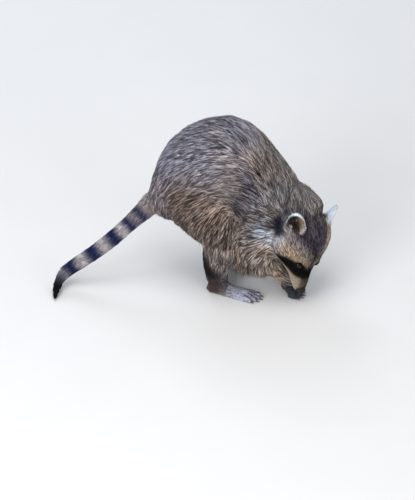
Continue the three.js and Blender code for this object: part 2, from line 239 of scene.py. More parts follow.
# %% Floor and light
FLOOR_HALF = 14.0
LIT_POINT = Vector((0, 0, 0.1))
PANELS = [
    ("sky_panel", (-0.1, -0.5, 2.5), 1.8, 30, (1.0, 0.99, 0.97)),
    ("front_panel", (-0.7, -2.5, 1.2), 1.5, 52, (1, 1, 1)),
    ("head_panel", (2.0, -1.6, 1.0), 1.2, 12, (1, 1, 1)),
    ("rim_panel", (-1.2, 1.9, 1.7), 1.2, 22, (0.78, 0.87, 1.0)),
]

bpy.ops.mesh.primitive_plane_add(size=2 * FLOOR_HALF, location=(0, 0, 0))
floor = bpy.context.object
floor.name = "floor"

for name, place, size, power, light_colour in PANELS:
    data = bpy.data.lights.new(name, "AREA")
    data.size = size
    data.energy = power
    data.color = light_colour
    lamp = bpy.data.objects.new(name, data)
    lamp.location = place
    lamp.rotation_mode = "QUATERNION"
    lamp.rotation_quaternion = (LIT_POINT - Vector(place)).to_track_quat("-Z", "Y")
    bpy.context.scene.collection.objects.link(lamp)
print("panels", [row[0] for row in PANELS])

# %% [markdown]
# ## One skin over all the flesh
# An animal has one skin, but the solids are cut where a person names the parts.
# Joining them with booleans leaves sharp seams. Each is swollen by a hair instead, and a voxel
# remesh turns the overlapping solids into one even surface.
# Eyeballs are taken in as well, so that the face has no hole before its lids are shaped.

# %% Join and remesh
SWELL = 0.5
VOXEL = 1.8
SAME_POINT = 0.01


def new_object(name, mesh):
    """A shown object for a mesh."""
    made = bpy.data.objects.new(name, mesh)
    bpy.context.scene.collection.objects.link(made)
    return made


def swollen(node):
    """A solid in a working mesh, its shared vertices merged and moved outwards."""
    work = bmesh.new()
    work.from_mesh(nodes[node].data)
    bmesh.ops.remove_doubles(work, verts=work.verts, dist=SAME_POINT * MM)
    bmesh.ops.recalc_face_normals(work, faces=work.faces)
    work.normal_update()
    for v in work.verts:
        v.co += v.normal * SWELL * MM
    return work


whole = bmesh.new()
for node in FLESH + ["eye_right", "eye_left"]:
    part = swollen(node)
    held = bpy.data.meshes.new("held")
    part.to_mesh(held)
    part.free()
    whole.from_mesh(held)
    bpy.data.meshes.remove(held)
joined = bpy.data.meshes.new("joined")
whole.to_mesh(joined)
whole.free()
mould = new_object("mould", joined)
remesh = mould.modifiers.new("remesh", "REMESH")
remesh.mode = "VOXEL"
remesh.voxel_size = VOXEL * MM
depsgraph = bpy.context.evaluated_depsgraph_get()
skin_mesh = bpy.data.meshes.new_from_object(mould.evaluated_get(depsgraph))
skin_mesh.name = "skin"
bpy.data.objects.remove(mould)
print("skin", len(skin_mesh.vertices), "vertices", len(skin_mesh.polygons), "faces")

# %% [markdown]
# ## Whose skin is it
# Depth, colour and lie are told by body part, so each point of the skin has to know its solid.
# The nearest solid could be guessed from middles, but only the nearest surface is right at a bend.

# %% Nearest solid
flesh_verts = []
flesh_tris = []
flesh_owner = []
base = 0
for index, node in enumerate(FLESH):
    mesh = nodes[node].data
    mesh.calc_loop_triangles()
    tris = np.empty(len(mesh.loop_triangles) * 3, np.int32)
    mesh.loop_triangles.foreach_get("vertices", tris)
    flesh_verts.append(points[node])
    flesh_tris.append(tris.reshape(-1, 3) + base)
    flesh_owner.append(np.full(len(tris) // 3, index))
    base += len(points[node])
flesh_owner = np.concatenate(flesh_owner)
flesh_tree = BVHTree.FromPolygons(
    np.concatenate(flesh_verts).tolist(), np.concatenate(flesh_tris).tolist()
)


def owners(p):
    """For each point, the number of the solid whose surface is nearest."""
    return flesh_owner[[flesh_tree.find_nearest(q)[2] for q in p.tolist()]]


def read_mesh(mesh):
    """Vertices in millimetres, and edges, of a mesh."""
    co = np.empty(len(mesh.vertices) * 3, np.float32)
    mesh.vertices.foreach_get("co", co)
    edges = np.empty(len(mesh.edges) * 2, np.int32)
    mesh.edges.foreach_get("vertices", edges)
    return co.reshape(-1, 3).astype(float) / MM, edges.reshape(-1, 2)


print("faces of flesh", len(flesh_owner))

# %% [markdown]
# ## Finer mesh where it matters
# Lids, lips and ear rims need a mesh twice as fine as the trunk under its deep coat.
# A finer voxel would do it everywhere and make the skin heavy, so only the faces of the face and
# ears are divided.

# %% Refine the face and ears
FINE_BEHIND = 74.0

co, edges = read_mesh(skin_mesh)
owner = owners(co)


def parts(*wanted):
    """The skin's vertices that belong to these kinds of solids, as a mask."""
    return np.isin(kinds, wanted)[owner]


fine = parts("head") & (in_head(co)[:, 0] < FINE_BEHIND) | parts("ear")
work = bmesh.new()
work.from_mesh(skin_mesh)
work.verts.ensure_lookup_table()
fine_faces = [f for f in work.faces if all(fine[v.index] for v in f.verts)]
fine_edges = list({e for f in fine_faces for e in f.edges})
bmesh.ops.subdivide_edges(work, edges=fine_edges, cuts=1, use_grid_fill=True)
bmesh.ops.triangulate(work, faces=[f for f in work.faces if len(f.verts) > 4])
work.to_mesh(skin_mesh)
work.free()
co, edges = read_mesh(skin_mesh)
owner = owners(co)
on_head = parts("head")
print("refined skin", len(co), "vertices", len(skin_mesh.polygons), "faces")

# %% [markdown]
# ## Smoothing
# A body has no facets. A plain smooth would shrink the thin legs, so the facets are ironed out with
# alternate steps in and out, which round a form and keep its size.
# Values given per solid are spread over the mesh, so that no border between parts shows.

# %% Smooth
IRON = {"head": 0.35, "ear": 0.12, "hind_foot": 0.10, "hand": 0.10, "tail": 0.6, "forearm": 0.4}
IRON_ROUNDS = 36
STEP_IN = 0.5
STEP_OUT = 0.53
SPREAD_SHARE = 0.6
IRON_SPREAD = 6
degree = np.maximum(np.bincount(edges.ravel(), minlength=len(co)), 1)


def neighbours_mean(values):
    """The mean of each vertex's neighbours."""
    out = np.empty_like(values)
    for k in range(values.shape[1]):
        out[:, k] = np.bincount(edges[:, 0], values[edges[:, 1], k], len(values))
        out[:, k] += np.bincount(edges[:, 1], values[edges[:, 0], k], len(values))
    return out / degree[:, None]


def spread(values, rounds):
    """Values blended over the surface, so that a step between solids becomes a slope."""
    values = np.array(values, float)
    shaped = values if values.ndim == 2 else values[:, None]
    for _ in range(rounds):
        shaped = shaped + SPREAD_SHARE * (neighbours_mean(shaped) - shaped)
    return shaped if values.ndim == 2 else shaped[:, 0]


def by_kind(table, otherwise=0.0):
    """One number for each vertex from a table by kind of solid."""
    return np.array([table.get(k, otherwise) for k in kinds], float)[owner]


iron = spread(by_kind(IRON, 1.0), IRON_SPREAD)[:, None]
for _ in range(IRON_ROUNDS):
    co = co + STEP_IN * iron * (neighbours_mean(co) - co)
    co = co - STEP_OUT * iron * (neighbours_mean(co) - co)
print("smoothed; height mm", co[:, 2].max().round(1))

# %% [markdown]
# ## How long the hair is
# On the head the hair grows from stubble on the muzzle and round the eyes to a ruff on the cheeks.
# Towards the tail's end and on the heel it is shorter than the part's row says.
# These are rules on distance, as a brushed map would have to be made again for each new form.

# %% Length, depth and width
HEAD_HAIR = [(0, 1.8), (26, 3.0), (45, 4.5), (60, 7.5), (78, 12), (98, 19), (125, 25)]
HEAD_WIDTH = [(2, 0.55), (6, 0.8), (14, 1.15), (25, 1.4)]
HEAD_DEPTH_SHARE = 0.30
CROWN_TRIM = 0.35
CROWN_UP = (18, 32)
CROWN_BACK = (50, 70)
BY_THE_EYE = (7.0, 22.0, 1.8, 14.0)
DEEPEST_SHARE = 0.5
TAIL_END_HAIR = 3.5
TAIL_END_GAIN = 0.55
HEEL_AHEAD = 22.0
HEEL_ABOVE = 8.0
HEEL_LENGTH = 9.0
HEEL_DEPTH = 1.0
SOLE_TOP = 5.0
SHORTEST = 1.5
COAT_SPREAD = 14


def curve(x, pairs):
    """The height of a line of straight pieces, told as pairs, at each place."""
    at, height = np.array(pairs, float).T
    return np.interp(x, at, height)


def ramp(x, x0, x1, y0, y1):
    """From y0 at x0 to y1 at x1 in a straight line, level outside."""
    return y0 + (y1 - y0) * np.clip((x - x0) / (x1 - x0), 0, 1)


def head_length(place, gap):
    """Tuft length over the head: stubble on the muzzle, a ruff on the cheeks."""
    b, _, u = place.T
    crown = ramp(u, *CROWN_UP, 0, 1) * ramp(b, *CROWN_BACK, 0, 1)
    grown = curve(b, HEAD_HAIR) * (1 - CROWN_TRIM * crown)
    return np.minimum(grown, ramp(gap, *BY_THE_EYE))


def bone_gaps():
    """How far each vertex is from its own solid's bone."""
    gaps = np.zeros(len(co))
    for index, node in enumerate(FLESH):
        mine = owner == index
        a, b = bone[node]
        along = np.clip((co[mine] - a) @ (b - a) / ((b - a) @ (b - a)), 0, 1)
        gaps[mine] = np.linalg.norm(co[mine] - a - along[:, None] * (b - a), axis=1)
    return gaps


depth, length, width = [by_kind({k: row[i] for k, row in COAT.items()}) for i in range(3)]
eye_gap = np.minimum(*[np.linalg.norm(co - middle[f"eye_{side}"], axis=1) for side in SIGN])
length[on_head] = head_length(in_head(co), eye_gap)[on_head]
depth[on_head] = HEAD_DEPTH_SHARE * length[on_head]
width[on_head] = curve(length[on_head], HEAD_WIDTH)
slim = parts("tail", "shank", "forearm")
depth = np.where(slim, np.minimum(depth, DEEPEST_SHARE * bone_gaps()), depth)
end_hair = TAIL_END_HAIR + TAIL_END_GAIN * np.linalg.norm(co - tail_end, axis=1)
length = np.where(parts("tail"), np.minimum(length, end_hair), length)
for side in SIGN:
    hock, toes = bone[f"hind_foot_{side}"]
    heel = owner == FLESH.index(f"hind_foot_{side}")
    heel &= ((co - hock) @ unit((toes - hock) * (1, 1, 0)) < HEEL_AHEAD) & (co[:, 2] > HEEL_ABOVE)
    length[heel] = HEEL_LENGTH
    depth[heel] = HEEL_DEPTH
depth, length, width = spread(np.stack([depth, length, width], 1), COAT_SPREAD).T
depth[(co[:, 2] < SOLE_TOP) & parts("hind_foot", "hand")] = 0.0
length = np.maximum(length, SHORTEST)
print("mean length mm", length.mean().round(1), "mean depth mm", depth.mean().round(2))

# %% [markdown]
# ## Under the coat
# The living skin lies under the hair by the coat's depth. One long push would cross itself in the
# armpits, so it sinks a little at a time, with a touch of smoothing where it sinks deep.

# %% Sink
SINK_STEPS = 6
SINK_SMOOTH = 0.25
SINK_DEEP = 2.0


def normals_at(positions):
    """The skin's vertex normals with its vertices at these places."""
    skin_mesh.vertices.foreach_set("co", (positions * MM).astype(np.float32).ravel())
    skin_mesh.update()
    flat = np.empty(len(positions) * 3, np.float32)
    skin_mesh.vertex_normals.foreach_get("vector", flat)
    return flat.reshape(-1, 3).astype(float)


for _ in range(SINK_STEPS):
    co = co - normals_at(co) * depth[:, None] / SINK_STEPS
    co = co + SINK_SMOOTH * iron * (neighbours_mean(co) - co) * (depth[:, None] > SINK_DEEP)
print("skin z from", co[:, 2].min().round(2))

# %% [markdown]
# ## Measuring on the head
# The eyes of a raccoon look forward, outward and a little up, and the lips and markings are long and
# narrow. So three measures are needed: how far a point is off an eye's axis, how far from a line of
# straight pieces, and a smooth hump to turn a distance into a push.
# A curve object could stand for a line, but a short list of places is easier to read and change.

# %% Measures
EYE_LOOK = (0.60, 0.63, 0.49)


def look_axis(sign):
    """The way an eye faces: forward, outward and a little up."""
    f, s, u = EYE_LOOK
    return unit(f * forward + sign * s * left_axis + u * dorsal)


def eye_off(p, side):
    """How far ahead of an eye's middle points lie, and how far off its axis."""
    look = look_axis(SIGN[side])
    d = p - middle[f"eye_{side}"]
    ahead = d @ look
    return ahead, np.linalg.norm(d - ahead[:, None] * look, axis=1)


def bell(x, wide):
    """A smooth hump, one at nought and next to nothing past twice its width."""
    return np.exp(-((x / wide) ** 2))


def to_line(p, line):
    """Distance from points to a line of straight pieces, and how far along it the nearest place is."""
    line = np.asarray(line, float)
    best = np.full(len(p), 1e9)
    where = np.zeros(len(p))
    run = 0.0
    for a, b in zip(line, line[1:]):
        d = b - a
        size = np.linalg.norm(d)
        t = np.clip((p - a) @ d / (size * size), 0, 1)
        gap = np.linalg.norm(p - a - t[:, None] * d, axis=1)
        nearer = gap < best
        best = np.where(nearer, gap, best)
        where = np.where(nearer, run + t * size, where)
        run += size
    return best, where


print("eyes look", np.round(look_axis(1), 2), np.round(look_axis(-1), 2))

# %% [markdown]
# ## The face in the skin
# Bone and muscle show through the short coat of the face: lips, brow ridge and eye sockets.
# They could be modelled by hand with brushes. Each is a smooth push on the skin instead, told in
# the head's axes, so it can be read and moved.

# %% Sculpt the face
SOCKET = 10.5
SOCKET_MIDDLE = 4.5
SOCKET_FLOOR = (1.0, 5.0)
SOCKET_SIDES = 0.7
SOCKET_FULL = 1.6
SOCKET_REACH = (-2, 16)
BROW_RIDGE = (53.0, 15.0, 29.0)
RIDGE_WIDE = 8.0
RIDGE_RISE = 2.4
MOUTH = [(4.5, 0.0, -7.5), (10, 7.0, -8.5), (20, 11.5, -11.0), (31, 15.5, -13.0), (39, 18.5, -13.5)]
MOUTH_BEHIND = 60.0
LIP_GROOVE = 1.3
LIP_GROOVE_WIDE = 1.5
LIP_ROLL = 0.5
LIP_ROLL_OFF = 3.2
LIP_ROLL_WIDE = 1.6

normal = normals_at(co)
place = in_head(co)
lip_gap, _ = to_line(mirrored(place), MOUTH)
near_lip = on_head & (place[:, 0] < MOUTH_BEHIND)
push = LIP_ROLL * bell(lip_gap - LIP_ROLL_OFF, LIP_ROLL_WIDE)
push -= LIP_GROOVE * bell(lip_gap, LIP_GROOVE_WIDE)
ridge = bell(np.linalg.norm(mirrored(place) - BROW_RIDGE, axis=1), RIDGE_WIDE)
co = co + (near_lip * push)[:, None] * normal
co = co + (on_head * ridge * RIDGE_RISE)[:, None] * normal

near, far = SOCKET_REACH
for side, sign in SIGN.items():
    ahead, off = eye_off(co, side)
    inside = on_head & (ahead > near) & (off < SOCKET) & (ahead < far)
    fall = np.clip(1 - off / SOCKET, 0, 1) ** SOCKET_SIDES
    socket_floor = np.minimum(ahead, ramp(off, SOCKET_MIDDLE, SOCKET, *SOCKET_FLOOR))
    lowering = (socket_floor - ahead) * np.clip(fall * SOCKET_FULL, 0, 1)
    co = co + (inside * lowering)[:, None] * look_axis(sign)
print("face sculpted; deepest lip push mm", push.min().round(2))

# %% [markdown]
# ## The ears in the skin
# A raccoon's ear is a shallow cup that opens forward and outward.
# The solid ear is a plain leaf, so its open side is pushed in, deepest in the middle.
# A separate ear shell would show a seam round its foot.

# %% Sculpt the ears
EAR_OPENS = (0.59, 0.68, 0.43)
EAR_HOLLOW = 6.5
CUP_WIDE = 0.80
CUP_TALL = 0.84
CUP_LOWER = 2.0
CUP_SIDES = 0.6
CUP_FACING = 3


def ear_axes(side):
    """The line up an ear, the way it opens, and across it."""
    sign = SIGN[side]
    root, tip = bone[f"ear_{side}"]
    line = unit(tip - root)
    f, s, u = EAR_OPENS
    opening = unit(f * forward + sign * s * left_axis + u * dorsal)
    opening = unit(opening - (opening @ line) * line)
    return line, opening, -sign * np.cross(line, opening)


for side in SIGN:
    mine = owner == FLESH.index(f"ear_{side}")
    line, opening, sidewards = ear_axes(side)
    d = co - co[mine].mean(0)
    x = (d @ sidewards) / (np.abs(d[mine] @ sidewards).max() * CUP_WIDE)
    y = (d @ line + CUP_LOWER) / (np.abs(d[mine] @ line).max() * CUP_TALL)
    cup = np.clip(1 - x * x - y * y, 0, 1) ** CUP_SIDES
    facing = np.clip((normal @ opening) * CUP_FACING, 0, 1)
    co = co - (mine * cup * facing * EAR_HOLLOW)[:, None] * opening
co[:, 2] = np.maximum(co[:, 2], 0.0)
normal = normals_at(co)
print("sculpted; lowest", co[:, 2].min().round(2))

# %% [markdown]
# ## Markings
# A coat's colours are fixed to the body, so one set of rules paints the skin and every tuft.
# A painted image would need an unwrap and would blur over the seams. Instead, each solid has a
# ground colour, spread over the borders, and the mask, brows, stripe, ear patches and tail rings
# are laid over it, told by their middle lines, half widths and limits.
# Streak says how much neighbouring locks differ, which is what grizzles the back.

# %% Ground colours
def tone(red, green, blue):
    """A colour told as it looks on a screen, as the linear numbers a shader needs."""
    c = np.array([red, green, blue], float) / 255
    return np.where(c < 0.04045, c / 12.92, ((c + 0.055) / 1.055) ** 2.4)


GROUND = {
    "head": tone(112, 102, 96),
    "ear": tone(241, 246, 254),
    "neck": tone(99, 93, 92),
    "chest": tone(96, 93, 94),
    "loin": tone(114, 110, 114),
    "rump": tone(116, 112, 120),
    "tail": tone(186, 180, 183),
    "thigh": tone(94, 82, 76),
    "shank": tone(114, 106, 103),
    "hind_foot": tone(157, 161, 178),
    "upper_arm": tone(134, 124, 119),
    "forearm": tone(158, 145, 134),
    "hand": tone(62, 65, 74),
}
STREAK = {
    "head": 0.75, "ear": 0.12, "tail": 0.25, "hind_foot": 0.6, "hand": 0.3, "forearm": 0.85,
    "shank": 1.25, "upper_arm": 1.2, "neck": 1.3, "chest": 1.2, "loin": 1.1, "rump": 1.1, "thigh": 1.2,
}
FULL_STREAK = 1.1
NEAR_ROUNDS = 8
FAR_ROUNDS = 120
STREAK_ROUNDS = 14

each_ground = np.array([GROUND[k] for k in kinds])[owner]
crisp = parts("head", "ear", "hind_foot", "hand")[:, None]
ground = np.where(crisp, spread(each_ground, NEAR_ROUNDS), spread(each_ground, FAR_ROUNDS))
streak = spread(by_kind(STREAK), STREAK_ROUNDS)
print("ground colours for", len(GROUND), "parts")

# %% [markdown]
# ## Tones and soft edges
# Hairs of two colours mingle where markings meet, so no marking has a hard edge.
# Blurring a painted border would need an image. Here every edge is a soft step with its own width.

# %% Tones, edges and bands
CREAM = tone(141, 124, 105)
WHITE = tone(172, 163, 152)
BUFF = tone(166, 151, 130)
TAWNY = tone(104, 92, 78)
RIM_CREAM = tone(240, 222, 208)
EAR_BLUE = tone(203, 211, 225)
SNOW = tone(186, 196, 214)
GREY = tone(140, 136, 138)
SLATE = tone(102, 94, 97)
# Painted light for the left temple.
TEMPLE_LIGHT = tone(158, 142, 133)
CROWN_DARK = tone(52, 48, 54)
BRIDGE = tone(40, 32, 29)
BLACK = tone(9, 8, 10)
NAVY = tone(20, 23, 40)
BROWN = tone(40, 31, 27)
UMBER = tone(12, 9, 11)
RING = tone(8, 26, 74)
TAIL_UNDER = tone(205, 180, 150)
TAIL_PALE = tone(222, 214, 212)
TAIL_FAWN = tone(160, 148, 142)
TAIL_ROOT = tone(108, 104, 112)
TAIL_GREY = tone(78, 78, 92)
HEEL_BROWN = tone(88, 76, 72)
# Painted shade: under the belly, under the upper arms, and in the fold behind the upper arm.
BELLY_SHADE = tone(52, 43, 39)
ARMPIT_SHADE = tone(56, 44, 37)
CREASE_SHADE = tone(33, 35, 50)
OVER, UNDER = 1, -1


def soft(edge, softness):
    """One well inside an edge, nothing well outside, and a soft step between."""
    return 1 / (1 + np.exp(-np.clip(edge / softness, -30, 30)))


def within(place, limits):
    """How much each place is within limits, each told by axis, way, limit and softness."""
    cover = np.ones(len(place))
    for axis, way, limit, softness in limits:
        cover = cover * soft(way * (place[:, axis] - limit), softness)
    return cover


def band(p, line, halves, softness):
    """How much a tapering band covers each point."""
    gap, run = to_line(p, line)
    return soft(curve(run, halves) - gap, softness)


def lay(under, over, cover):
    """One colour laid over others, as far as it covers."""
    return under + (over - under) * cover[:, None]


def tint(colour, factor, cover):
    """Colours multiplied channel by channel, as far as the tint covers."""
    return colour * (1 + cover[:, None] * (np.array(factor) - 1))


print("black reads", BLACK.round(4), "cream reads", CREAM.round(3))

# %% [markdown]
# ## The face's markings
# A raccoon's mask runs from the bridge through each eye to the cheek, between a pale brow and a pale
# muzzle, with a dark stripe down the forehead that widens into the crown.
# Each marking is a row: its colour, how strongly it covers, a band or a half width across the head,
# and limits in the head's axes, each with the softness of its edge. They are laid on in their order.
# Both sides are alike, so one band stands for both, but the crown's parting lies a little to the
# right, and painted light makes the left temple paler.

# %% Markings of the head
BEHIND, LEFT, UP = range(3)
HEAD_MARKS = {
    "throat": {"tone": GREY, "limits": [(UP, UNDER, -20, 6), (BEHIND, UNDER, 118, 6)]},
    "cheek": {
        "tone": WHITE,
        "strength": 0.7,
        "band": ([(48, 22, -12), (64, 38, -14), (84, 56, -6), (100, 60, -4)], [(0, 12), (60, 16)], 4),
        "limits": [(BEHIND, UNDER, 66, 5)],
    },
    "muzzle": {"tone": BUFF, "strength": 0.9, "limits": [(BEHIND, UNDER, 47, 3)]},
    "brow": {
        "tone": CREAM,
        "band": (
            [(42, 9, 22), (53, 20, 27), (64, 35, 24), (76, 48, 17), (90, 58, 8)],
            [(0, 5.0), (16, 7.5), (36, 9.0), (70, 10.0)],
            2.2,
        ),
    },
    "temple": {
        "tone": SLATE,
        "strength": 0.8,
        "half": ([(54, 2.5), (60, 5), (66, 11), (72, 20), (80, 33), (88, 42)], 2.6),
        "limits": [(UP, OVER, 22, 3), (BEHIND, OVER, 58, 2.5), (BEHIND, UNDER, 112, 5)],
    },
    # Painted light on the left temple.
    "left_temple_light": {
        "tone": TEMPLE_LIGHT,
        "limits": [
            (LEFT, OVER, 20, 3), (UP, OVER, 20, 3), (BEHIND, OVER, 66, 4), (BEHIND, UNDER, 110, 4)
        ],
    },
    "crown": {
        "tone": CROWN_DARK,
        "half": ([(56, 2.5), (64, 4.5), (72, 12), (80, 21), (96, 32), (112, 34), (130, 32)], 2.6),
        "limits": [(UP, OVER, 14, 4), (BEHIND, OVER, 58, 2.5), (BEHIND, UNDER, 126, 6)],
    },
    "ear_front": {
        "tone": NAVY,
        "strength": 0.85,
        "band": ([(132, 20, 34), (112, 29, 38)], [(0, 7.0), (22, 6.5)], 2.2),
    },
    "stripe": {
        "tone": BRIDGE,
        "fade": (14, 30, 0.75, 0.95),
        "band": (
            [(66, 0, 40), (50, 0, 28), (36, 0, 20), (20, 0, 14), (6, 0, 7)],
            [(0, 3.0), (20, 3.2), (36, 6.0), (53, 11.5), (69, 12.5)],
            1.3,
        ),
        "limits": [(UP, OVER, 3, 1.5)],
    },
    "mask": {
        "tone": BLACK,
        "band": (
            [(32, 8, 14.5), (38.5, 19, 13), (50, 31.5, 7), (61, 43, 3), (68, 51, -1)],
            [(0, 10), (13, 14.5), (31, 12.5), (47, 10.5), (58, 5)],
            1.1,
        ),
    },
}
print("markings of the head", list(HEAD_MARKS))

# %% [markdown]
# ## Laying the markings on the head
# A marking covers by its band, its half width and its limits multiplied, so it can fade out on any
# side. One finished picture could hold them all, but laid one over the other each stays easy to
# move, and the mask always ends up on top of the brow and the stripe.

# %% Paint the head
PARTING = 9.0
PARTING_BACK = (60, 90)
MASK_CALM = 0.9
FACE_CALM = (20, 60, 0.35, 1.0)
LIP_HALF = 1.4
LIP_EDGE = 0.5
LIP_LIMITS = [(BEHIND, UNDER, 46, 2)]
NOSE_MIDDLE = (3, 0, 1)
NOSE_WET = 9.5
NOSE_EDGE = 1.0
BARE_SHARE = 0.8


def mark_cover(mark, place):
    """How much a marking of the head covers each place told in the head's axes."""
    b = place[:, BEHIND]
    cover = mark.get("strength", 1.0) * within(place, mark.get("limits", []))
    if "fade" in mark:
        cover = cover * ramp(b, *mark["fade"])
    if "band" in mark:
        cover = cover * band(mirrored(place), *mark["band"])
    if "half" in mark:
        halves, softness = mark["half"]
        aside = np.abs(place[:, LEFT] + ramp(b, *PARTING_BACK, 0.0, PARTING))
        cover = cover * soft(curve(b, halves) - aside, softness)
    return cover


def paint_head(p, colour, coarse):
    """The markings of the head over the ground colour, then the lips and the rim of the nose."""
    place = in_head(p)
    b = place[:, BEHIND]
    cover = {name: mark_cover(mark, place) for name, mark in HEAD_MARKS.items()}
    for name, mark in HEAD_MARKS.items():
        colour = lay(colour, mark["tone"], cover[name])
    coarse = coarse + (FULL_STREAK - coarse) * cover["crown"]
    coarse = coarse * (1 - MASK_CALM * cover["mask"]) * ramp(b, *FACE_CALM)
    from_lip, _ = to_line(mirrored(place), MOUTH)
    from_nose = np.linalg.norm(mirrored(place) - NOSE_MIDDLE, axis=1)
    lip = soft(LIP_HALF - from_lip, LIP_EDGE) * within(place, LIP_LIMITS)
    colour = lay(colour, BROWN, BARE_SHARE * lip)
    return lay(colour, BLACK, BARE_SHARE * soft(NOSE_WET - from_nose, NOSE_EDGE)), coarse


print("head painted in", len(HEAD_MARKS) + 2, "layers")

# %% [markdown]
# ## Behind and in the ears
# Behind each ear lies a black patch, and below it a pale ruff, over whatever part is there.
# The ear has a white rim round a dark hollow, buff along its inner wall. Places on an ear are told
# in shares of its half width and half height, so they hold for an ear of any size.

# %% Ears and nape
EAR_PATCH = (
    [(110, 59, 10), (126, 60, 10), (141, 45, 17), (143, 30, 30)],
    [(0, 10.0), (14, 14.0), (38, 10.0), (58, 6.5)],
    2.0,
)
RUFF = (
    [(113, 84, -10), (98, 72, -3), (92, 64, 5), (99, 60, 13)],
    [(0, 8.0), (20, 10.0), (32, 7.5), (43, 5.5)],
    4.0,
)
RUFF_SHARE = 0.62
NAPE_CALM = 0.6
ACROSS, ALONG, OUT, TURNED = range(4)
OPEN_SIDE = (TURNED, OVER, -0.3, 0.1)
INNER_EDGE = (ACROSS, UNDER, 0.8, 0.05)
EAR_MARKS = [
    (EAR_BLUE, 0.8, [(TURNED, UNDER, -0.1, 0.1)]),
    (NAVY, 0.9, [(TURNED, UNDER, -0.3, 0.1), (ALONG, UNDER, -0.8, 0.06)]),
    (RIM_CREAM, 0.9, [OPEN_SIDE, INNER_EDGE, (ACROSS, OVER, -0.3, 0.1), (ALONG, UNDER, -0.3, 0.1)]),
    (BROWN, 0.75, [OPEN_SIDE, INNER_EDGE, (ALONG, UNDER, -0.84, 0.05)]),
]
HOLLOW = {"right": 0.80, "left": 0.62}
HOLLOW_EDGE = 0.04
HOLLOW_ASIDE = 0.18
HOLLOW_OPEN = 0.1
HOLLOW_LIMITS = [OPEN_SIDE, (OUT, UNDER, 4.8, 0.8), (ALONG, OVER, -0.74, 0.06)]
TAWNY_WALL = (0.7, [(ACROSS, UNDER, -0.45, 0.08), (ALONG, OVER, 0.35, 0.08)])
CREAM_WALL = (0.2, 0.5, 0.08)


def paint_nape(p, colour, coarse):
    """The black patch behind each ear and the white ruff below it."""
    place = mirrored(in_head(p))
    patch = band(place, *EAR_PATCH)
    ruff = band(place, *RUFF)
    colour = lay(colour, SNOW, RUFF_SHARE * ruff)
    return lay(colour, NAVY, patch), coarse * (1 - NAPE_CALM * np.maximum(patch, ruff))


def ear_place(p, n, side):
    """Across and along an ear from -1 to 1, how far out to its open side, and how turned to it."""
    line, opening, sidewards = ear_axes(side)
    q = points[f"ear_{side}"]
    heart = q.mean(0)
    half_tall = np.abs((q - heart) @ line).max()
    half_wide = np.abs((q - heart) @ sidewards).max()
    d = p - heart
    return np.stack([d @ sidewards / half_wide, d @ line / half_tall, d @ opening, n @ opening], 1)


def paint_ear(p, n, side, colour, on_ear):
    """A bluish back, a cream rim, and a hollow that is dark to its middle."""
    place = ear_place(p, n, side)
    x, y, _, _ = place.T
    for over, strength, limits in EAR_MARKS:
        colour = lay(colour, over, strength * on_ear * within(place, limits))
    inward = x + HOLLOW_ASIDE
    radius = np.sqrt(inward * inward + np.where(y > 0, 1.0, HOLLOW_OPEN) * y * y)
    inner = soft(HOLLOW[side] - radius, HOLLOW_EDGE) * within(place, HOLLOW_LIMITS)
    strength, limits = TAWNY_WALL
    hollow = lay(np.tile(BROWN, (len(p), 1)), TAWNY, strength * within(place, limits))
    wall_at, wall_slope, softness = CREAM_WALL
    hollow = lay(hollow, CREAM, soft(x - wall_at - wall_slope * y, softness))
    return colour + (hollow - colour) * inner[:, None]


print("hollow's share of each ear", HOLLOW)

# %% [markdown]
# ## The tail's markings
# The tail's rings are measured along its middle line from the root, as on the living animal, where
# they close up towards the root. Rings told in the room's axes would shear where the tail bends.

# %% Tail
SHIFT = np.array([23.0, 32.1, 0.0])
TAIL_LINE = SHIFT + [
    (-91, -6, 147.5), (-107, -18, 135.5), (-124, -37, 120), (-145, -56, 100), (-170, -72, 77),
    (-199, -85, 53), (-225, -93, 33), (-243, -110, 20), (-242, -134, 10), (-238, -154, 4.5),
]
RINGS = [(54.5, 7.5), (78.5, 9.5), (111.5, 13.0), (155, 13.5), (201.5, 14.0)]
RING_EDGE = 0.9
RUN, RISE = range(2)
BELOW_LINE = [(RISE, UNDER, -5, 3)]
AT_ROOT = [(RUN, UNDER, 36, 4)]
UNDER_RINGS = [
    (TAIL_UNDER, 0.5, BELOW_LINE),
    (TAIL_PALE, 0.75, [(RUN, OVER, 86, 2), (RUN, UNDER, 100, 2)]),
    (TAIL_FAWN, 0.8, [(RUN, UNDER, 70, 2)]),
    (TAIL_ROOT, 1.0, AT_ROOT),
]
OVER_RINGS = [
    (TAIL_GREY, 1.0, [(RUN, OVER, 217, 2.5)]),
    (BLACK, 1.0, [(RUN, OVER, 238, 3.0)]),
]
RAGGED = 1.5
RING_FADE = 0.1
RING_CALM = 0.4

tail_steps = np.linalg.norm(np.diff(TAIL_LINE, axis=0), axis=1)
tail_height = (np.concatenate([[0], np.cumsum(tail_steps)]), TAIL_LINE[:, 2])


def paint_tail(p, colour, coarse):
    """Rings, a grey end and a black tip, by the distance along the tail."""
    _, run = to_line(p, TAIL_LINE)
    run = run + RAGGED * np.sin(p[:, 0] * 0.9) * np.sin(p[:, 2] * 0.8 + 1)
    place = np.stack([run, p[:, 2] - np.interp(run, *tail_height)], 1)
    for over, strength, limits in UNDER_RINGS:
        colour = lay(colour, over, strength * within(place, limits))
    dark = np.max([soft(half - np.abs(run - at), RING_EDGE) for at, half in RINGS], axis=0)
    colour = lay(colour, RING, dark * (1 - RING_FADE * within(place, BELOW_LINE)))
    for over, strength, limits in OVER_RINGS:
        colour = lay(colour, over, strength * within(place, limits))
    coarse = coarse + (FULL_STREAK - coarse) * within(place, AT_ROOT)
    return colour, coarse * (1 - RING_CALM * dark)


print("tail's line mm", tail_steps.sum().round(1), "rings", len(RINGS))
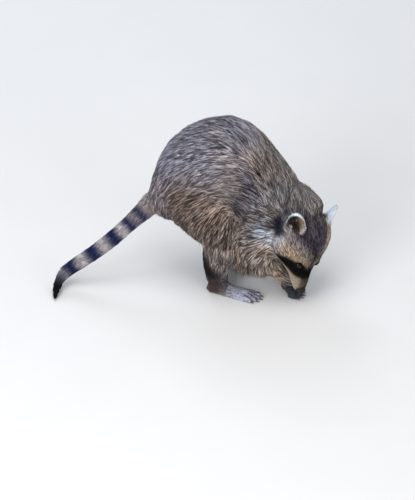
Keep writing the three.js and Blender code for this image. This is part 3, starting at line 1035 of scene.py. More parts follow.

# %% [markdown]
# ## Body and legs
# The back is darker along its top, with a painted cool sheen of sky light there and behind the arch,
# and rustier down the flank. The belly and armpits carry painted brown shade, the fold behind the
# upper arm painted cool shade, and the backs of the shanks are almost black above pale, bluish feet
# with painted shade in the clefts between the toes.
# The broad changes of the back, and the painted shade and light on shoulders, cheeks, forearms and
# thighs, multiply what is there, because one colour laid over it would wipe out the borders between
# the parts. Belly, calves and feet are dark enough to be laid over.

# %% Body and legs
RUST = ([(82, 8, 272), (66, 48, 257), (45, 68, 215), (30, 75, 164)], [(0, 20), (120, 24)], 8)
ROOM_X, _, ROOM_Z, NORMAL_Z = range(4)
TOP = [(NORMAL_Z, OVER, 0.75, 0.08), (ROOM_Z, OVER, 225, 10)]
BEHIND_ARCH = [(ROOM_X, UNDER, 20, 20), (ROOM_Z, OVER, 215, 12)]
RUST_TINT = (1.05, 1.0, 0.92)
TOP_TINT = (0.79, 0.79, 0.79)
# Painted cool sheen of sky light, on the top of the back and behind the arch.
SKY_SHEEN_TINT = (0.93, 0.98, 1.10)
# Painted shade and light: cool shade behind the shoulders, brown shade under the cheeks and over the
# forearms, light on the front of the thighs.
BODY_LIGHT_AND_SHADE = {
    "shoulder": ([(64, 60, 236), (72, 63, 210), (80, 66, 185)], 13, (0.52, 0.58, 0.84)),
    "under_cheek": ([(81, 81, 130), (92, 76, 152), (100, 70, 172)], 14, (0.52, 0.57, 0.64)),
    "thigh_front": ([(24, 74, 172), (30, 83, 147), (33, 85, 133)], 9, (2.1, 2.25, 2.35)),
    "forearm_top": ([(92, 81, 108), (102, 77, 98), (113, 71, 90)], 10, (0.60, 0.53, 0.42)),
}
# The fold behind the upper arm, which gets painted cool shade.
CREASE = (
    SHIFT + [(53, -68, 206), (51, -68, 182), (58, -64, 152)],
    [(0, 6), (24, 15), (55, 13)],
    5,
)
CALF = ([(-2, -12), (-7, 8), (-16, 44)], [(0, 15.0), (20, 18.0), (38, 13.0), (56, 8.0)], 2.0)
TINT_EDGE = 3.5
CALF_REACH = 70.0
HEEL_REACH = 30.0
HEEL_EDGE = 8.0
TOE_GAP = 21.0
CLEFT_WIDE = 1.5
CLEFT_SHADE_SHARE = 0.85


def paint_back(p, n, colour):
    """Rusty hair down the flank, darker hair along the top of the back, and a painted cool sheen of sky
    light on the top and behind the arch.
    """
    place = np.column_stack([mirrored(p - SHIFT), n[:, 2]])
    colour = tint(colour, RUST_TINT, band(place[:, :3], *RUST))
    top = within(place, TOP)
    sky_sheen = np.maximum(top, within(place, BEHIND_ARCH))
    return tint(tint(colour, TOP_TINT, top), SKY_SHEEN_TINT, sky_sheen)


def paint_body_light_and_shade(p, colour):
    """Painted cool shade on the shoulders, painted brown shade below the cheeks and on the forearms,
    and painted light on the front of the thighs.
    """
    place = mirrored(p - SHIFT)
    for line, half, factor in BODY_LIGHT_AND_SHADE.values():
        colour = tint(colour, factor, band(place, line, [(0, half), (100, half)], TINT_EDGE))
    return colour


def paint_foot(p, side, colour):
    """A brown heel under the last of the long hair, and painted shade in the clefts between the toes.
    """
    hock, toes = bone[f"hind_foot_{side}"]
    reach = (p - hock) @ unit((toes - hock) * (1, 1, 0))
    colour = lay(colour, HEEL_BROWN, soft(HEEL_REACH - reach, HEEL_EDGE))
    # Painted shade in the clefts between the toes.
    claws = [middle[f"hind_claw_{side}_{k}"] for k in range(1, 6)]
    for a, b in zip(claws, claws[1:]):
        cleft = (a + b) / 2
        back_to = cleft + unit((hock - cleft) * (1, 1, 0)) * TOE_GAP
        gap, _ = to_line(p * (1, 1, 0), [cleft * (1, 1, 0), back_to * (1, 1, 0)])
        colour = lay(colour, BLACK, CLEFT_SHADE_SHARE * bell(gap, CLEFT_WIDE))
    return colour


print("tints of the body", list(BODY_LIGHT_AND_SHADE))

# %% [markdown]
# ## Painting a point
# The skin has tens of thousands of points and the coat hundreds of thousands. Asking every marking
# for every point would be slow, so each is asked only for the parts it can reach.
# The same call paints the skin here and the halves of each tuft later.

# %% Paint
EAR_FOOT = 16.0
TRUNK = ["neck", "chest", "loin", "rump"]
BELLY = [(ROOM_Z, UNDER, 126, 7)]
BELLY_SHARE = 0.7
BELLY_ROUNDS = 30
CALF_SHARE = 0.95
CALF_CALM = 0.65
# Painted brown shade under the upper arms.
SHADES = [
    (ARMPIT_SHADE, 0.65, ["upper_arm"], [(ROOM_Z, UNDER, 72, 5)]),
]
CREASED = ["chest", "loin", "upper_arm"]
CREASE_SHARE = 0.92


def paint_legs(p, own, part, side, colour, coarse):
    """The dark back of one shank and the markings of its foot."""
    hock = bone[f"hind_foot_{side}"][0]
    calf = np.isin(part, ["shank", "hind_foot"]) & (np.linalg.norm(p - hock, axis=1) < CALF_REACH)
    if calf.any():
        rear = band((p[calf] - hock)[:, [0, 2]], *CALF)
        colour[calf] = lay(colour[calf], UMBER, CALF_SHARE * rear)
        coarse[calf] *= 1 - CALF_CALM * rear
    feet = own == FLESH.index(f"hind_foot_{side}")
    if feet.any():
        colour[feet] = paint_foot(p[feet], side, colour[feet])


# The coat has the belly's painted shade on the whole trunk. On the skin it fades out beyond chest and
# loin.
coat_belly = parts(*TRUNK).astype(float)
skin_belly = spread(by_kind({"chest": 1.0, "loin": 1.0}), BELLY_ROUNDS)


def paint(p, n, nearest, belly=coat_belly):
    """Colour and streakiness of points, from the skin's ground colour and each part's markings."""
    colour = ground[nearest].copy()
    coarse = streak[nearest].copy()
    own = owner[nearest]
    part = kinds[own]
    near_head = np.isin(part, ["head", "neck"])
    if near_head.any():
        done = paint_head(p[near_head], colour[near_head], coarse[near_head])
        colour[near_head], coarse[near_head] = done
    nape = np.isin(part, ["head", "neck", "chest", "upper_arm"])
    if nape.any():
        colour[nape], coarse[nape] = paint_nape(p[nape], colour[nape], coarse[nape])
    for side in SIGN:
        mine = own == FLESH.index(f"ear_{side}")
        mine |= (part == "head") & (np.linalg.norm(p - bone[f"ear_{side}"][0], axis=1) < EAR_FOOT)
        if mine.any():
            colour[mine] = paint_ear(p[mine], n[mine], side, colour[mine], part[mine] == "ear")
        paint_legs(p, own, part, side, colour, coarse)
    tailed = (part == "tail") | (part == "rump") & (p[:, 0] < TAIL_LINE[1, 0])
    if tailed.any():
        done = paint_tail(p[tailed], colour[tailed], coarse[tailed])
        colour[tailed], coarse[tailed] = done
    body = np.isin(part, [*TRUNK, "thigh"])
    if body.any():
        colour[body] = paint_back(p[body], n[body], colour[body])
    # Painted shade and light on shoulders, cheeks, forearms and thighs.
    coated = np.isin(part, ["neck", "chest", "loin", "thigh", "upper_arm", "forearm"])
    if coated.any():
        colour[coated] = paint_body_light_and_shade(p[coated], colour[coated])
    # Painted shade under the belly.
    colour = lay(colour, BELLY_SHADE, BELLY_SHARE * belly[nearest] * within(p, BELLY))
    for over, strength, where, limits in SHADES:
        colour = lay(colour, over, strength * np.isin(part, where) * within(p, limits))
    # Painted cool shade in the fold behind the upper arm.
    crease_shade = np.isin(part, CREASED) * band(p, *CREASE)
    colour = lay(colour, CREASE_SHADE, CREASE_SHARE * crease_shade)
    return np.clip(colour, 0.002, 0.95), np.clip(coarse, 0, 1.3)


skin_colour, skin_streak = paint(co, normal, np.arange(len(co)), skin_belly)
print("painted skin, mean", skin_colour.mean(0).round(3))

# %% [markdown]
# ## The lie of the coat
# Hair points from the nose to the tail and down the legs. On the arched trunk it runs in arcs round
# a middle under the belly, falls on the flanks, and gathers a little to the spine at the withers.
# The thighs and upper arms are combed back and down, more steeply the lower they are.
# Combing by hand would have to be done again for a new pose, so the lie is worked out and spread.

# %% Lie
ARCH_DROP = 78.0
FALL = {"neck": 0.1, "chest": 0.55, "loin": 0.75, "rump": 0.5}
GATHER = 0.6
GATHER_FORE = 50.0
GATHER_ASIDE = 15.0
COMB = {
    "thigh": [(105, -0.15, -1.0), (150, -0.55, -0.85), (190, -0.85, -0.55)],
    "shank": [(30, 0.0, -1.0), (110, -0.15, -1.0)],
    "upper_arm": [(68, 0.0, -1.0), (100, -0.6, -0.8), (135, -0.85, -0.2), (170, -0.75, 0.5)],
}
FAN = 0.55
FAN_UP = 0.6
FAN_BACK = 60.0
FAN_LEAST = 0.15
LIE_SPREAD = 30


def along_surface(direction, n):
    """The part of a direction that lies in the surface, at length one."""
    return unit(direction - (direction * n).sum(1, keepdims=True) * n)


lie = np.zeros_like(co)
for index, node in enumerate(FLESH):
    a, b = bone[node]
    lie[owner == index] = unit(b - a)

from_arch = co - (middle["loin"] - (0, 0, ARCH_DROP))
around = unit(from_arch * (1, 0, 1))
around = np.stack([-around[:, 2], np.zeros(len(co)), around[:, 0]], 1)
around[:, 2] -= by_kind(FALL) * (1 - np.abs(normal[:, 2]))
fore = np.clip(from_arch[:, 0] / GATHER_FORE, 0, 1) * np.clip(normal[:, 2], 0, 1)
around[:, 1] -= GATHER * fore * np.tanh(from_arch[:, 1] / GATHER_ASIDE)
lie[parts(*FALL)] = around[parts(*FALL)]

for part, strokes in COMB.items():
    mine = parts(part)
    heights, back, down = np.array(strokes, float).T
    lie[mine, 0] = np.interp(co[mine, 2], heights, back)
    lie[mine, 1] = 0.0
    lie[mine, 2] = np.interp(co[mine, 2], heights, down)

behind, across, up = in_head(co).T
outward = unit(across[:, None] * left_axis + FAN_UP * up[:, None] * dorsal)
fan = FAN * np.clip(behind / FAN_BACK, FAN_LEAST, 1)[:, None] * outward
lie[on_head] = (-forward + fan)[on_head]
lie = along_surface(spread(unit(lie), LIE_SPREAD), normal)
print("lie on the back", np.round(lie[np.argmax(co[:, 2])], 2))

# %% [markdown]
# ## An unwrap of the skin
# Each tuft has a patch of its own for its colour to be baked on, which sits at its root's place on a
# flat sheet.
# One unwrap of the whole skin would crowd the legs, so each part is unrolled round its own bone into
# a cell of the sheet, and a part with more hair gets a taller row.

# %% Unwrap
SHEET = [
    (0.28, ["chest", "loin"]),
    (0.24, ["rump", "neck", "head"]),
    (0.16, ["tail_1", "tail_2", "tail_3", "tail_4", "thigh_right", "thigh_left"]),
    (0.16, [f"{part}_{side}" for part in ("shank", "upper_arm", "forearm") for side in SIGN]),
    (0.16, [f"{part}_{side}" for part in ("hind_foot", "hand", "ear") for side in SIGN]),
]
MARGIN = 0.02
PATCH = 0.003
AWAY = (0.3, 1.0, 0.2)
cell = {}
row_at = 0.0
for tall, row in SHEET:
    for place_in_row, node in enumerate(row):
        cell[node] = (place_in_row / len(row), row_at, 1 / len(row), tall)
    row_at += tall


def unwrap(p, own):
    """The place of each point on the sheet: round its bone and along it."""
    out = np.zeros((len(p), 2))
    inside = 1 - 2 * MARGIN
    for index, node in enumerate(FLESH):
        mine = own == index
        if not mine.any():
            continue
        a, b = bone[node]
        axis = unit(b - a)
        first = unit(np.cross(axis, AWAY))
        second = np.cross(axis, first)
        d = p[mine] - a
        angle = np.arctan2(d @ second, d @ first) / (2 * math.pi) + 0.5
        reach = d @ axis
        step = (reach - reach.min()) / max(reach.max() - reach.min(), 1e-6)
        x, y, wide, tall = cell[node]
        out[mine, 0] = x + wide * (MARGIN + inside * angle)
        out[mine, 1] = y + tall * (MARGIN + inside * step)
    return out


print("sheet rows fill", round(row_at, 2))

# %% [markdown]
# ## Sowing the coat
# Real hair is far too fine to model one by one, and particle hair isn't a solid. A tuft stands for
# a few hairs that cling together. Roots are spread evenly, closer where tufts are narrow.
# Tufts share a lock with neighbours ahead and behind more than with those beside, and a lock shares
# its colour, turn and height, which makes the pale dashes of a grizzled coat.

# %% The skin as a seed bed
PAST_EDGE = 2.5
CROWD = 0.8
LOCK = 3
SLIM = 0.45
TRIED = 12

skin_tree = KDTree(len(co))
for index, place_of in enumerate(co.tolist()):
    skin_tree.insert(place_of, index)
skin_tree.balance()
skin_mesh.calc_loop_triangles()
tris = np.empty(len(skin_mesh.loop_triangles) * 3, np.int32)
skin_mesh.loop_triangles.foreach_get("vertices", tris)
tris = tris.reshape(-1, 3)
tri_side = np.cross(co[tris[:, 1]] - co[tris[:, 0]], co[tris[:, 2]] - co[tris[:, 0]])
tri_area = np.linalg.norm(tri_side, axis=1) / 2


def nearest_on_skin(p):
    """For each point, the skin vertex nearest to it."""
    return np.array([skin_tree.find(q)[1] for q in p.tolist()])


def drop_to_skin(p):
    """Points set down on the skin, never far past its edge, and the vertex each is by."""
    near = nearest_on_skin(p)
    n = normal[near]
    off = p - co[near]
    off = off - (off * n).sum(1, keepdims=True) * n
    size = np.linalg.norm(off, axis=1, keepdims=True)
    return co[near] + off * np.minimum(1, PAST_EDGE / np.maximum(size, 1e-6)), near


def sow(mask, count):
    """Roots spread evenly over the faces whose first vertex is in the mask."""
    chosen = np.where(mask[tris[:, 0]])[0]
    weight = tri_area[chosen] / width[tris[chosen, 0]] ** CROWD
    total = np.cumsum(weight)
    at = (np.arange(count) + rng.random(count)) / count * total[-1]
    face = chosen[np.minimum(np.searchsorted(total, at), len(chosen) - 1)]
    r1, r2 = np.sqrt(rng.random(count)), rng.random(count)
    w = np.stack([1 - r1, r1 * (1 - r2), r1 * r2], 1)
    corner = tris[face]
    root = (co[corner] * w[:, :, None]).sum(1)
    first = corner[np.arange(count), np.argmax(w, 1)]
    return root, first, unit((normal[corner] * w[:, :, None]).sum(1))


def share_locks(root, heading):
    """For each root the number of its lock's leader, found in a long narrow neighbourhood."""
    count = len(root)
    leaders = rng.choice(count, max(count // LOCK, TRIED), replace=False)
    tree = KDTree(len(leaders))
    for index, q in enumerate(root[leaders].tolist()):
        tree.insert(q, index)
    tree.balance()
    found = np.array([[hit[1] for hit in tree.find_n(q, TRIED)] for q in root.tolist()])
    step = root[leaders][found] - root[:, None, :]
    ahead = np.abs((step * heading[:, None, :]).sum(2))
    aside = np.sqrt(np.maximum((step * step).sum(2) - ahead * ahead, 0))
    best = np.argmin(aside + SLIM * ahead, 1)
    return leaders[found[np.arange(count), best]]


def evened(x):
    """Numbers replaced by their rank from 0 to 1, which keeps their order and spreads them evenly."""
    out = np.empty(len(x))
    out[np.argsort(x)] = (np.arange(len(x)) + 0.5) / len(x)
    return out


print("seed bed mm2", tri_area.sum().round())

# %% [markdown]
# ## The shape of a tuft
# A long tuft is a closed sliver with a three-sided root, a bend and a point. Its middle and tip are
# laid back on the skin a step at a time, so it follows the body round, and its height there is the
# coat's depth, which brings the tips to the solids' surface. A straight sliver would stick out of
# every hollow. Stubble is short enough to be a plain four-faced sliver.
# Fringes under the arms and chest hang a little longer and looser.

# %% Tufts
BENT = {
    "faces": [(0, 2, 1), (0, 1, 4, 3), (1, 2, 5, 4), (2, 0, 3, 5), (3, 4, 6), (4, 5, 6), (5, 3, 6)],
    "along": [0, 0, 0, 0.5, 0.5, 0.5, 1.0],
    "patch": [(-0.5, 0), (0.5, 0), (0, 0.15), (-0.45, 0.5), (0.45, 0.5), (0, 0.6), (0, 1)],
    "triangles": 10,
}
STRAIGHT = {
    "faces": [(0, 2, 1), (0, 1, 3), (1, 2, 3), (2, 0, 3)],
    "along": [0.3, 0.3, 0.3, 1.0],
    "patch": [(-0.5, 0), (0.5, 0), (0, 0.15), (0, 1)],
    "triangles": 4,
}
BEND_AT = 0.45
BEND_HIGH = 0.72
BEND_LEAN = 0.5
LEAN = 0.5
LEAN_ALONG = 0.9
LEAN_REACH = 5.0
FREE_LENGTH = 0.6
FREE_RISE = 0.06
FRINGE_TOP = {"upper_arm": 100.0, "forearm": 80.0, "chest": 128.0, "loin": 128.0}
FRINGE_LOOSE = 0.7
FRINGE_LONGER = 0.35
FRINGE_EDGE = 5.0
FRINGE_START = -20.0

low = by_kind(FRINGE_TOP) - co[:, 2]
hang = FRINGE_LOOSE * soft(low, FRINGE_EDGE) * (low > FRINGE_START)
length = length * (1 + FRINGE_LONGER * soft(low, FRINGE_EDGE))


def bend_over(root, t0, long, high, loose, lead):
    """The bend and tip of long tufts, and where on the skin each of the two is laid."""
    half_way, near1 = drop_to_skin(root + t0 * (BEND_AT * long)[:, None])
    n1 = normal[near1]
    t1 = along_surface(0.5 * t0 + 0.5 * lie[near1], n1)
    mid = half_way + n1 * (BEND_HIGH * high)[:, None]
    under, near2 = drop_to_skin(half_way + t1 * ((1 - BEND_AT) * long)[:, None])
    n2 = normal[near2]
    tip = under + n2 * high[:, None]
    free = mid + (t1 + FREE_RISE * n1) * (FREE_LENGTH * long)[:, None]
    tip = np.where(loose[:, None], free, tip)
    pull = tip[lead] - tip
    pull -= LEAN_ALONG * (pull * t1).sum(1, keepdims=True) * t1
    close = np.clip(2 - np.linalg.norm(pull, axis=1) / LEAN_REACH, 0, 1)[:, None]
    tip = tip + LEAN * close * pull
    mid = mid + BEND_LEAN * LEAN * close * pull
    return mid, tip, (half_way, n1, near1), (under, n2, near2)


print("faces of a tuft", len(BENT["faces"]), "and of stubble", len(STRAIGHT["faces"]))

# %% [markdown]
# ## From arrays to a mesh
# A coat has far too many corners to add one by one. A mesh can take whole arrays of them at once,
# and numbers and colours are stored on the same vertices for the material to read.

# %% Arrays to a mesh
def mesh_from(name, verts, corners, counts):
    """A mesh from arrays: vertices in millimetres, face corners in a row, corners per face."""
    mesh = bpy.data.meshes.new(name)
    mesh.vertices.add(len(verts))
    mesh.vertices.foreach_set("co", (np.asarray(verts) * MM).astype(np.float32).ravel())
    mesh.loops.add(len(corners))
    mesh.loops.foreach_set("vertex_index", np.asarray(corners, np.int32))
    mesh.polygons.add(len(counts))
    starts = np.concatenate([[0], np.cumsum(counts)[:-1]]).astype(np.int32)
    mesh.polygons.foreach_set("loop_start", starts)
    mesh.update(calc_edges=True)
    mesh.validate()
    mesh.shade_smooth()
    return mesh


def set_attributes(mesh, values):
    """Numbers and colours stored on a mesh's vertices for its material."""
    for name, value in values.items():
        many = np.ndim(value) == 2
        layer = mesh.attributes.new(name, "FLOAT_VECTOR" if many else "FLOAT", "POINT")
        field = "vector" if many else "value"
        layer.data.foreach_set(field, np.asarray(value, np.float32).ravel())


print("mesh and attribute helpers ready")

# %% [markdown]
# ## Growing a piece
# The coat is grown in pieces by body part, each light enough to handle.
# Hair instances would be lost on export, so every sliver is real mesh. Its colours are stored on its
# vertices: the markings at its bend for the lower half, and those below its tip for the tip.
# A few guard hairs stand out of the rest, thinner and a little higher.

# %% Grow
YAW = 0.20
OWN_YAW = 0.5
LOCK_HEIGHT = (0.72, 1.05)
OWN_HEIGHT = (0.92, 1.05)
OWN_SIZE = (0.75, 1.2)
OWN_SHARE = 0.42
GUARD = 0.09
GUARD_HIGH = 1.12
GUARD_WIDE = 0.6
ROOT_UNDER = 0.3
ROOT_RIDGE = 0.9
BEND_WIDE = 0.9
BEND_RIDGE = 0.8
STUBBLE_LIFT = 0.24
STUBBLE_STEEP = 1.3
STUBBLE_PAINT = 0.6
OFF_THE_FLOOR = 0.4


def grow(name, mask, count, bent):
    """One piece of the coat over part of the skin."""
    shape = BENT if bent else STRAIGHT
    root, near, n0 = sow(mask, count)
    t0 = along_surface(lie[near], n0)
    lead = share_locks(root, t0)
    lock_high = rng.uniform(*LOCK_HEIGHT, count)[lead]
    guard = rng.random(count) < GUARD
    loose = guard | (hang[near] > rng.random(count))
    lock_turn = rng.normal(0, YAW, count)[lead]
    long = length[near] * rng.uniform(*OWN_SIZE, count)
    high = depth[near] * lock_high * rng.uniform(*OWN_HEIGHT, count)
    high = np.where(guard, GUARD_HIGH * depth[near], high)
    wide = width[near] * rng.uniform(*OWN_SIZE, count) * np.where(guard, GUARD_WIDE, 1.0)
    own_share = OWN_SHARE * rng.random(count)
    random = evened(own_share + (1 - OWN_SHARE) * rng.random(count)[lead])
    w0 = np.cross(n0, t0)
    turn = (lock_turn + rng.normal(0, OWN_YAW * YAW, count))[:, None]
    t0 = along_surface(t0 * np.cos(turn) + w0 * np.sin(turn), n0)
    w0 = np.cross(n0, t0)
    base = root - n0 * ROOT_UNDER
    half = (wide / 2)[:, None]
    corners_of = [base - w0 * half, base + w0 * half, base + n0 * half * ROOT_RIDGE]
    if bent:
        mid, tip, at_bend, at_tip = bend_over(root, t0, long, high, loose, lead)
        n1 = at_bend[1]
        w1 = unit(np.cross(n1, unit(tip - mid)))
        corners_of += [mid - w1 * half * BEND_WIDE, mid + w1 * half * BEND_WIDE]
        corners_of.append(mid + n1 * half * BEND_RIDGE)
        lower, upper = paint(*at_bend), paint(*at_tip)
    else:
        slant = np.minimum(STUBBLE_LIFT, STUBBLE_STEEP * high / np.maximum(long, 0.1))
        tip = root + (t0 + n0 * slant[:, None]) * long[:, None]
        lower = upper = paint(root + t0 * (STUBBLE_PAINT * long)[:, None], n0, near)
    verts = np.stack([*corners_of, tip], 1)
    verts[:, :, 2] = np.maximum(verts[:, :, 2], OFF_THE_FLOOR)

    per = verts.shape[1]
    pattern = np.concatenate(shape["faces"])
    corners = ((np.arange(count) * per)[:, None] + pattern).ravel()
    counts = np.tile([len(face) for face in shape["faces"]], count)
    mesh = mesh_from(name, verts.reshape(-1, 3), corners, counts)
    colour = np.repeat(lower[0], per, 0)
    colour[per - 1 :: per] = upper[0]
    coarse = np.repeat(lower[1], per)
    coarse[per - 1 :: per] = upper[1]
    values = {"mark": colour, "streak": coarse, "random": np.repeat(random, per)}
    set_attributes(mesh, {**values, "along": np.tile(shape["along"], count)})
    sheet_at = unwrap(root, owner[near])[:, None, :] + np.array(shape["patch"]) * PATCH
    uv = mesh.uv_layers.new(name="OFBake")
    uv.data.foreach_set("uv", sheet_at.reshape(-1, 2)[corners].astype(np.float32).ravel())
    area = tri_area[mask[tris[:, 0]]].sum()
    triangles = count * shape["triangles"]
    print(name, count, "tufts", triangles, "triangles", round(count / area, 2), "per mm2")
    made = new_object(name, mesh)
    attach(made, "root")
    return made


# %% [markdown]
# ## Where the coat grows
# Soles, the bare pad of the nose and the eyeballs carry no hair.
# Counts follow the area of each part and the width of its tufts, so that no skin shows through.

# %% Coat pieces
FACE_BEHIND = 62.0
SOLE_HIGH = 4.0
SOLE_FACING = -0.5
NOSE_BARE = 7.0
NOSE_BARE_AT = (3, 0, 0)
EYE_BARE = 6.5
EYE_BARE_REACH = (-3, 14)

bare = (co[:, 2] < SOLE_HIGH) & (normal[:, 2] < SOLE_FACING)
bare |= on_head & (np.linalg.norm(in_head(co) - NOSE_BARE_AT, axis=1) < NOSE_BARE)
near, far = EYE_BARE_REACH
for side in SIGN:
    ahead, off = eye_off(co, side)
    bare |= on_head & (off < EYE_BARE) & (ahead > near) & (ahead < far)
face = on_head & (behind < FACE_BEHIND)
FEWER = 1.0
PLAN = [
    ("coat_face", face, 36000, False, "fur_face"),
    ("coat_crown", on_head & ~face, 16500, True, "fur_grizzled"),
    ("coat_ears", parts("ear"), 12000, False, "fur_ears"),
    ("coat_neck", parts("neck"), 9000, True, "fur_grizzled"),
    ("coat_chest", parts("chest"), 18600, True, "fur_grizzled"),
    ("coat_loin", parts("loin"), 18600, True, "fur_grizzled"),
    ("coat_rump", parts("rump"), 11800, True, "fur_grizzled"),
    ("coat_tail", parts("tail"), 14000, True, "fur_tail"),
    ("coat_thighs", parts("thigh"), 12000, True, "fur_grizzled"),
    ("coat_upper_arms", parts("upper_arm"), 9000, True, "fur_legs"),
    ("coat_lower_legs", parts("shank", "forearm"), 14000, True, "fur_legs"),
    ("coat_feet", parts("hind_foot", "hand"), 18000, False, "fur_feet"),
]
coats = {}
for name, mask, count, bent, slot_name in PLAN:
    coats[name] = grow(name, mask & ~bare, int(count * FEWER), bent)
print("coat pieces", len(coats))

# %% [markdown]
# ## Eyes
# An eyeball is a sphere with the cornea's swelling, set as deep as the solid eye.
# A scaled ready-made sphere has no cornea, so the form is turned from a rule for its radius, and each
# ring keeps its angle off the eye's axis, which the material uses for the iris.

# %% Eyeballs
EYE_RADIUS = 7.2
CORNEA = 0.05
CORNEA_WIDE = 0.55
ROUND = 56


def round_quads(rows, turns, first=0):
    """Face corners between rings of vertices that follow each other."""
    corners = []
    for r in range(rows - 1):
        a, b = first + r * turns, first + (r + 1) * turns
        for k in range(turns):
            after = (k + 1) % turns
            corners += [a + k, b + k, b + after, a + after]
    return corners


def ball(name, centre, look, aside, above_it, shape, rows=28, turns=ROUND):
    """A closed form round a look axis; shape gives aside, above and ahead for an angle off the axis."""
    off = np.linspace(0, math.pi, rows + 2)
    spin = np.arange(turns) / turns * 2 * math.pi
    verts = [shape(off[:1], spin[:1])]
    verts += [shape(np.full(turns, a), spin) for a in off[1:-1]]
    verts = np.concatenate([*verts, shape(off[-1:], spin[:1])])
    verts = centre + verts[:, :1] * aside + verts[:, 1:2] * above_it + verts[:, 2:] * look
    angles = np.concatenate([off[:1], np.repeat(off[1:-1], turns), off[-1:]])
    last = 1 + (rows - 1) * turns
    corners = []
    for k in range(turns):
        after = (k + 1) % turns
        corners += [0, 1 + k, 1 + after, last + k, last + turns, last + after]
    quads = round_quads(rows, turns, first=1)
    counts = [3] * (2 * turns) + [4] * (len(quads) // 4)
    mesh = mesh_from(name, verts, corners + quads, counts)
    set_attributes(mesh, {"off_axis": angles})
    made = new_object(name, mesh)
    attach(made, "root")
    return made


def eyeball(off, spin):
    """A sphere whose front swells a little."""
    r = EYE_RADIUS * (1 + CORNEA * bell(off, CORNEA_WIDE))
    flat = np.sin(off)
    return np.stack([r * flat * np.cos(spin), r * flat * np.sin(spin), r * np.cos(off)], 1)


def eye_frame(side):
    """The way an eye looks, across it and up it."""
    look = look_axis(SIGN[side])
    up_it = unit(dorsal - (dorsal @ look) * look)
    return look, np.cross(up_it, look), up_it


eyes = []
for side in SIGN:
    eye = ball(f"eyeball_{side}", middle[f"eye_{side}"], *eye_frame(side), eyeball)
    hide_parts(f"eye_{side}")
    eyes.append(eye)
print("eyes", [o.name for o in eyes])

# %% [markdown]
# ## Lids
# The lids are a rim of dark skin round an almond opening, turned in at its edge and tucked under the
# face. Cutting the opening in the skin would tear its mesh, so the rim is laid over it.
# Each row says how much wider than the opening a ring is and how far it stands off the eyeball.

# %% Eyelids
ALMOND_LONG = 5.6
ALMOND_TALL = 3.9
ALMOND_LOWER = 0.85
ALMOND_PINCH = 0.3
LID = [(0.97, -0.5), (1.0, 0.35), (1.12, 1.0), (1.45, 0.9), (1.9, 0.0), (2.3, -2.2)]
LID_THICK = 0.5
LID_REACH = 3.0

spin = np.arange(ROUND) / ROUND * 2 * math.pi
pinch = 1 - ALMOND_PINCH * np.abs(np.cos(spin)) ** 3
rim_x = ALMOND_LONG * np.cos(spin)
rim_y = ALMOND_TALL * np.sin(spin) * pinch * np.where(np.sin(spin) > 0, 1, ALMOND_LOWER)
rings = []
for wider, proud in LID:
    x, y = rim_x * wider, rim_y * (wider + 0.25 * (wider - 1))
    off = np.minimum(np.hypot(x, y), EYE_RADIUS + LID_REACH)
    shell = EYE_RADIUS + proud
    ahead = np.sqrt(np.maximum(shell * shell - off * off, 0.0))
    rings.append(np.stack([x, y, np.maximum(ahead, 4.0 - 0.35 * off)], 1))
lid_form = np.concatenate(rings)
lid_quads = round_quads(len(LID), ROUND)

lids = []
for side in SIGN:
    look, aside, up_it = eye_frame(side)
    verts = lid_form[:, :1] * aside + lid_form[:, 1:2] * up_it + lid_form[:, 2:] * look
    verts = middle[f"eye_{side}"] + verts
    mesh = mesh_from(f"lid_{side}", verts, lid_quads, [4] * (len(lid_quads) // 4))
    lid = new_object(f"lid_{side}", mesh)
    thick = lid.modifiers.new("thickness", "SOLIDIFY")
    thick.thickness = LID_THICK * MM
    thick.offset = -1
    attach(lid, "root")
    lids.append(lid)
print("lids", [o.name for o in lids])

# %% [markdown]
# ## Nose
# The bare pad is broad above and narrows to a groove that runs down to the lip.
# Each nostril is a pit with a slit that curls out to the side. Boolean cuts would leave hard edges
# in moist skin, so pits, slits and groove are smooth pushes on one turned form.

# %% Nose
NOSE_WIDE = 9.0
NOSE_TALL = 7.0
NOSE_DEEP = 7.0
NOSE_NARROWS = 0.30
NOSTRIL = (4.1, -0.3)
PIT_DEEP = 3.6
SLIT_DEEP = 1.3
SLIT_FALL = 0.35
SLIT_FROM = 4.0
GROOVE_DEEP = 0.9
GROOVE_TOP = 3.0
RIM_PROUD = 0.35
RIM_RADIUS = 2.7
RIM_WIDE = 0.8
PIT_HALVES = (1.9, 1.7)
FINE_LINE = 0.7


def nose_pad(off, spin):
    """A pad with two nostrils, their side slits and the groove between them."""
    x = np.sin(off) * np.cos(spin)
    y = np.sin(off) * np.sin(spin)
    z = np.cos(off)
    px = NOSE_WIDE * x * (1 - NOSE_NARROWS * np.clip(-y, 0, 1))
    py = NOSE_TALL * y
    front = np.clip(z * 1.6, 0, 1)
    out = np.abs(px) - NOSTRIL[0]
    rise = py - NOSTRIL[1]
    pit = bell(out, PIT_HALVES[0]) * bell(rise, PIT_HALVES[1])
    slit = bell(rise + SLIT_FALL * out, FINE_LINE) * np.clip((np.abs(px) - SLIT_FROM) / 1.5, 0, 1)
    groove = bell(px, FINE_LINE) * np.clip(1 - py / GROOVE_TOP, 0, 1)
    rim = bell(np.hypot(out, rise) - RIM_RADIUS, RIM_WIDE)
    relief = RIM_PROUD * rim - PIT_DEEP * pit - SLIT_DEEP * slit - GROOVE_DEEP * groove
    return np.stack([px, py, NOSE_DEEP * z + front * relief], 1)


nose = ball("nose_pad", middle["nose"], forward, left_axis, dorsal, nose_pad, rows=60, turns=96)
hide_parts("nose")
print("nose", len(nose.data.vertices), "vertices")

# %% [markdown]
# ## Whiskers
# Nine stiff, pale bristles sweep back from each side of the lips, thinner to the tip.
# A bevelled curve has the same look, but a tube made ring by ring can store how far along it each
# ring lies, which the material reads.

# %% Whiskers
WHISKERS = 9
WHISKER_HALF = 0.26
WHISKER_LONG = 30.0
WHISKER_SINK = 0.6
WHISKER_SIDES = 5
WHISKER_STEPS = 8
FIRST_WHISKER = (13.0, 8.5, 1.5)
COLUMN_GAP = (5.5, 1.2)
ROW_GAP = 3.2

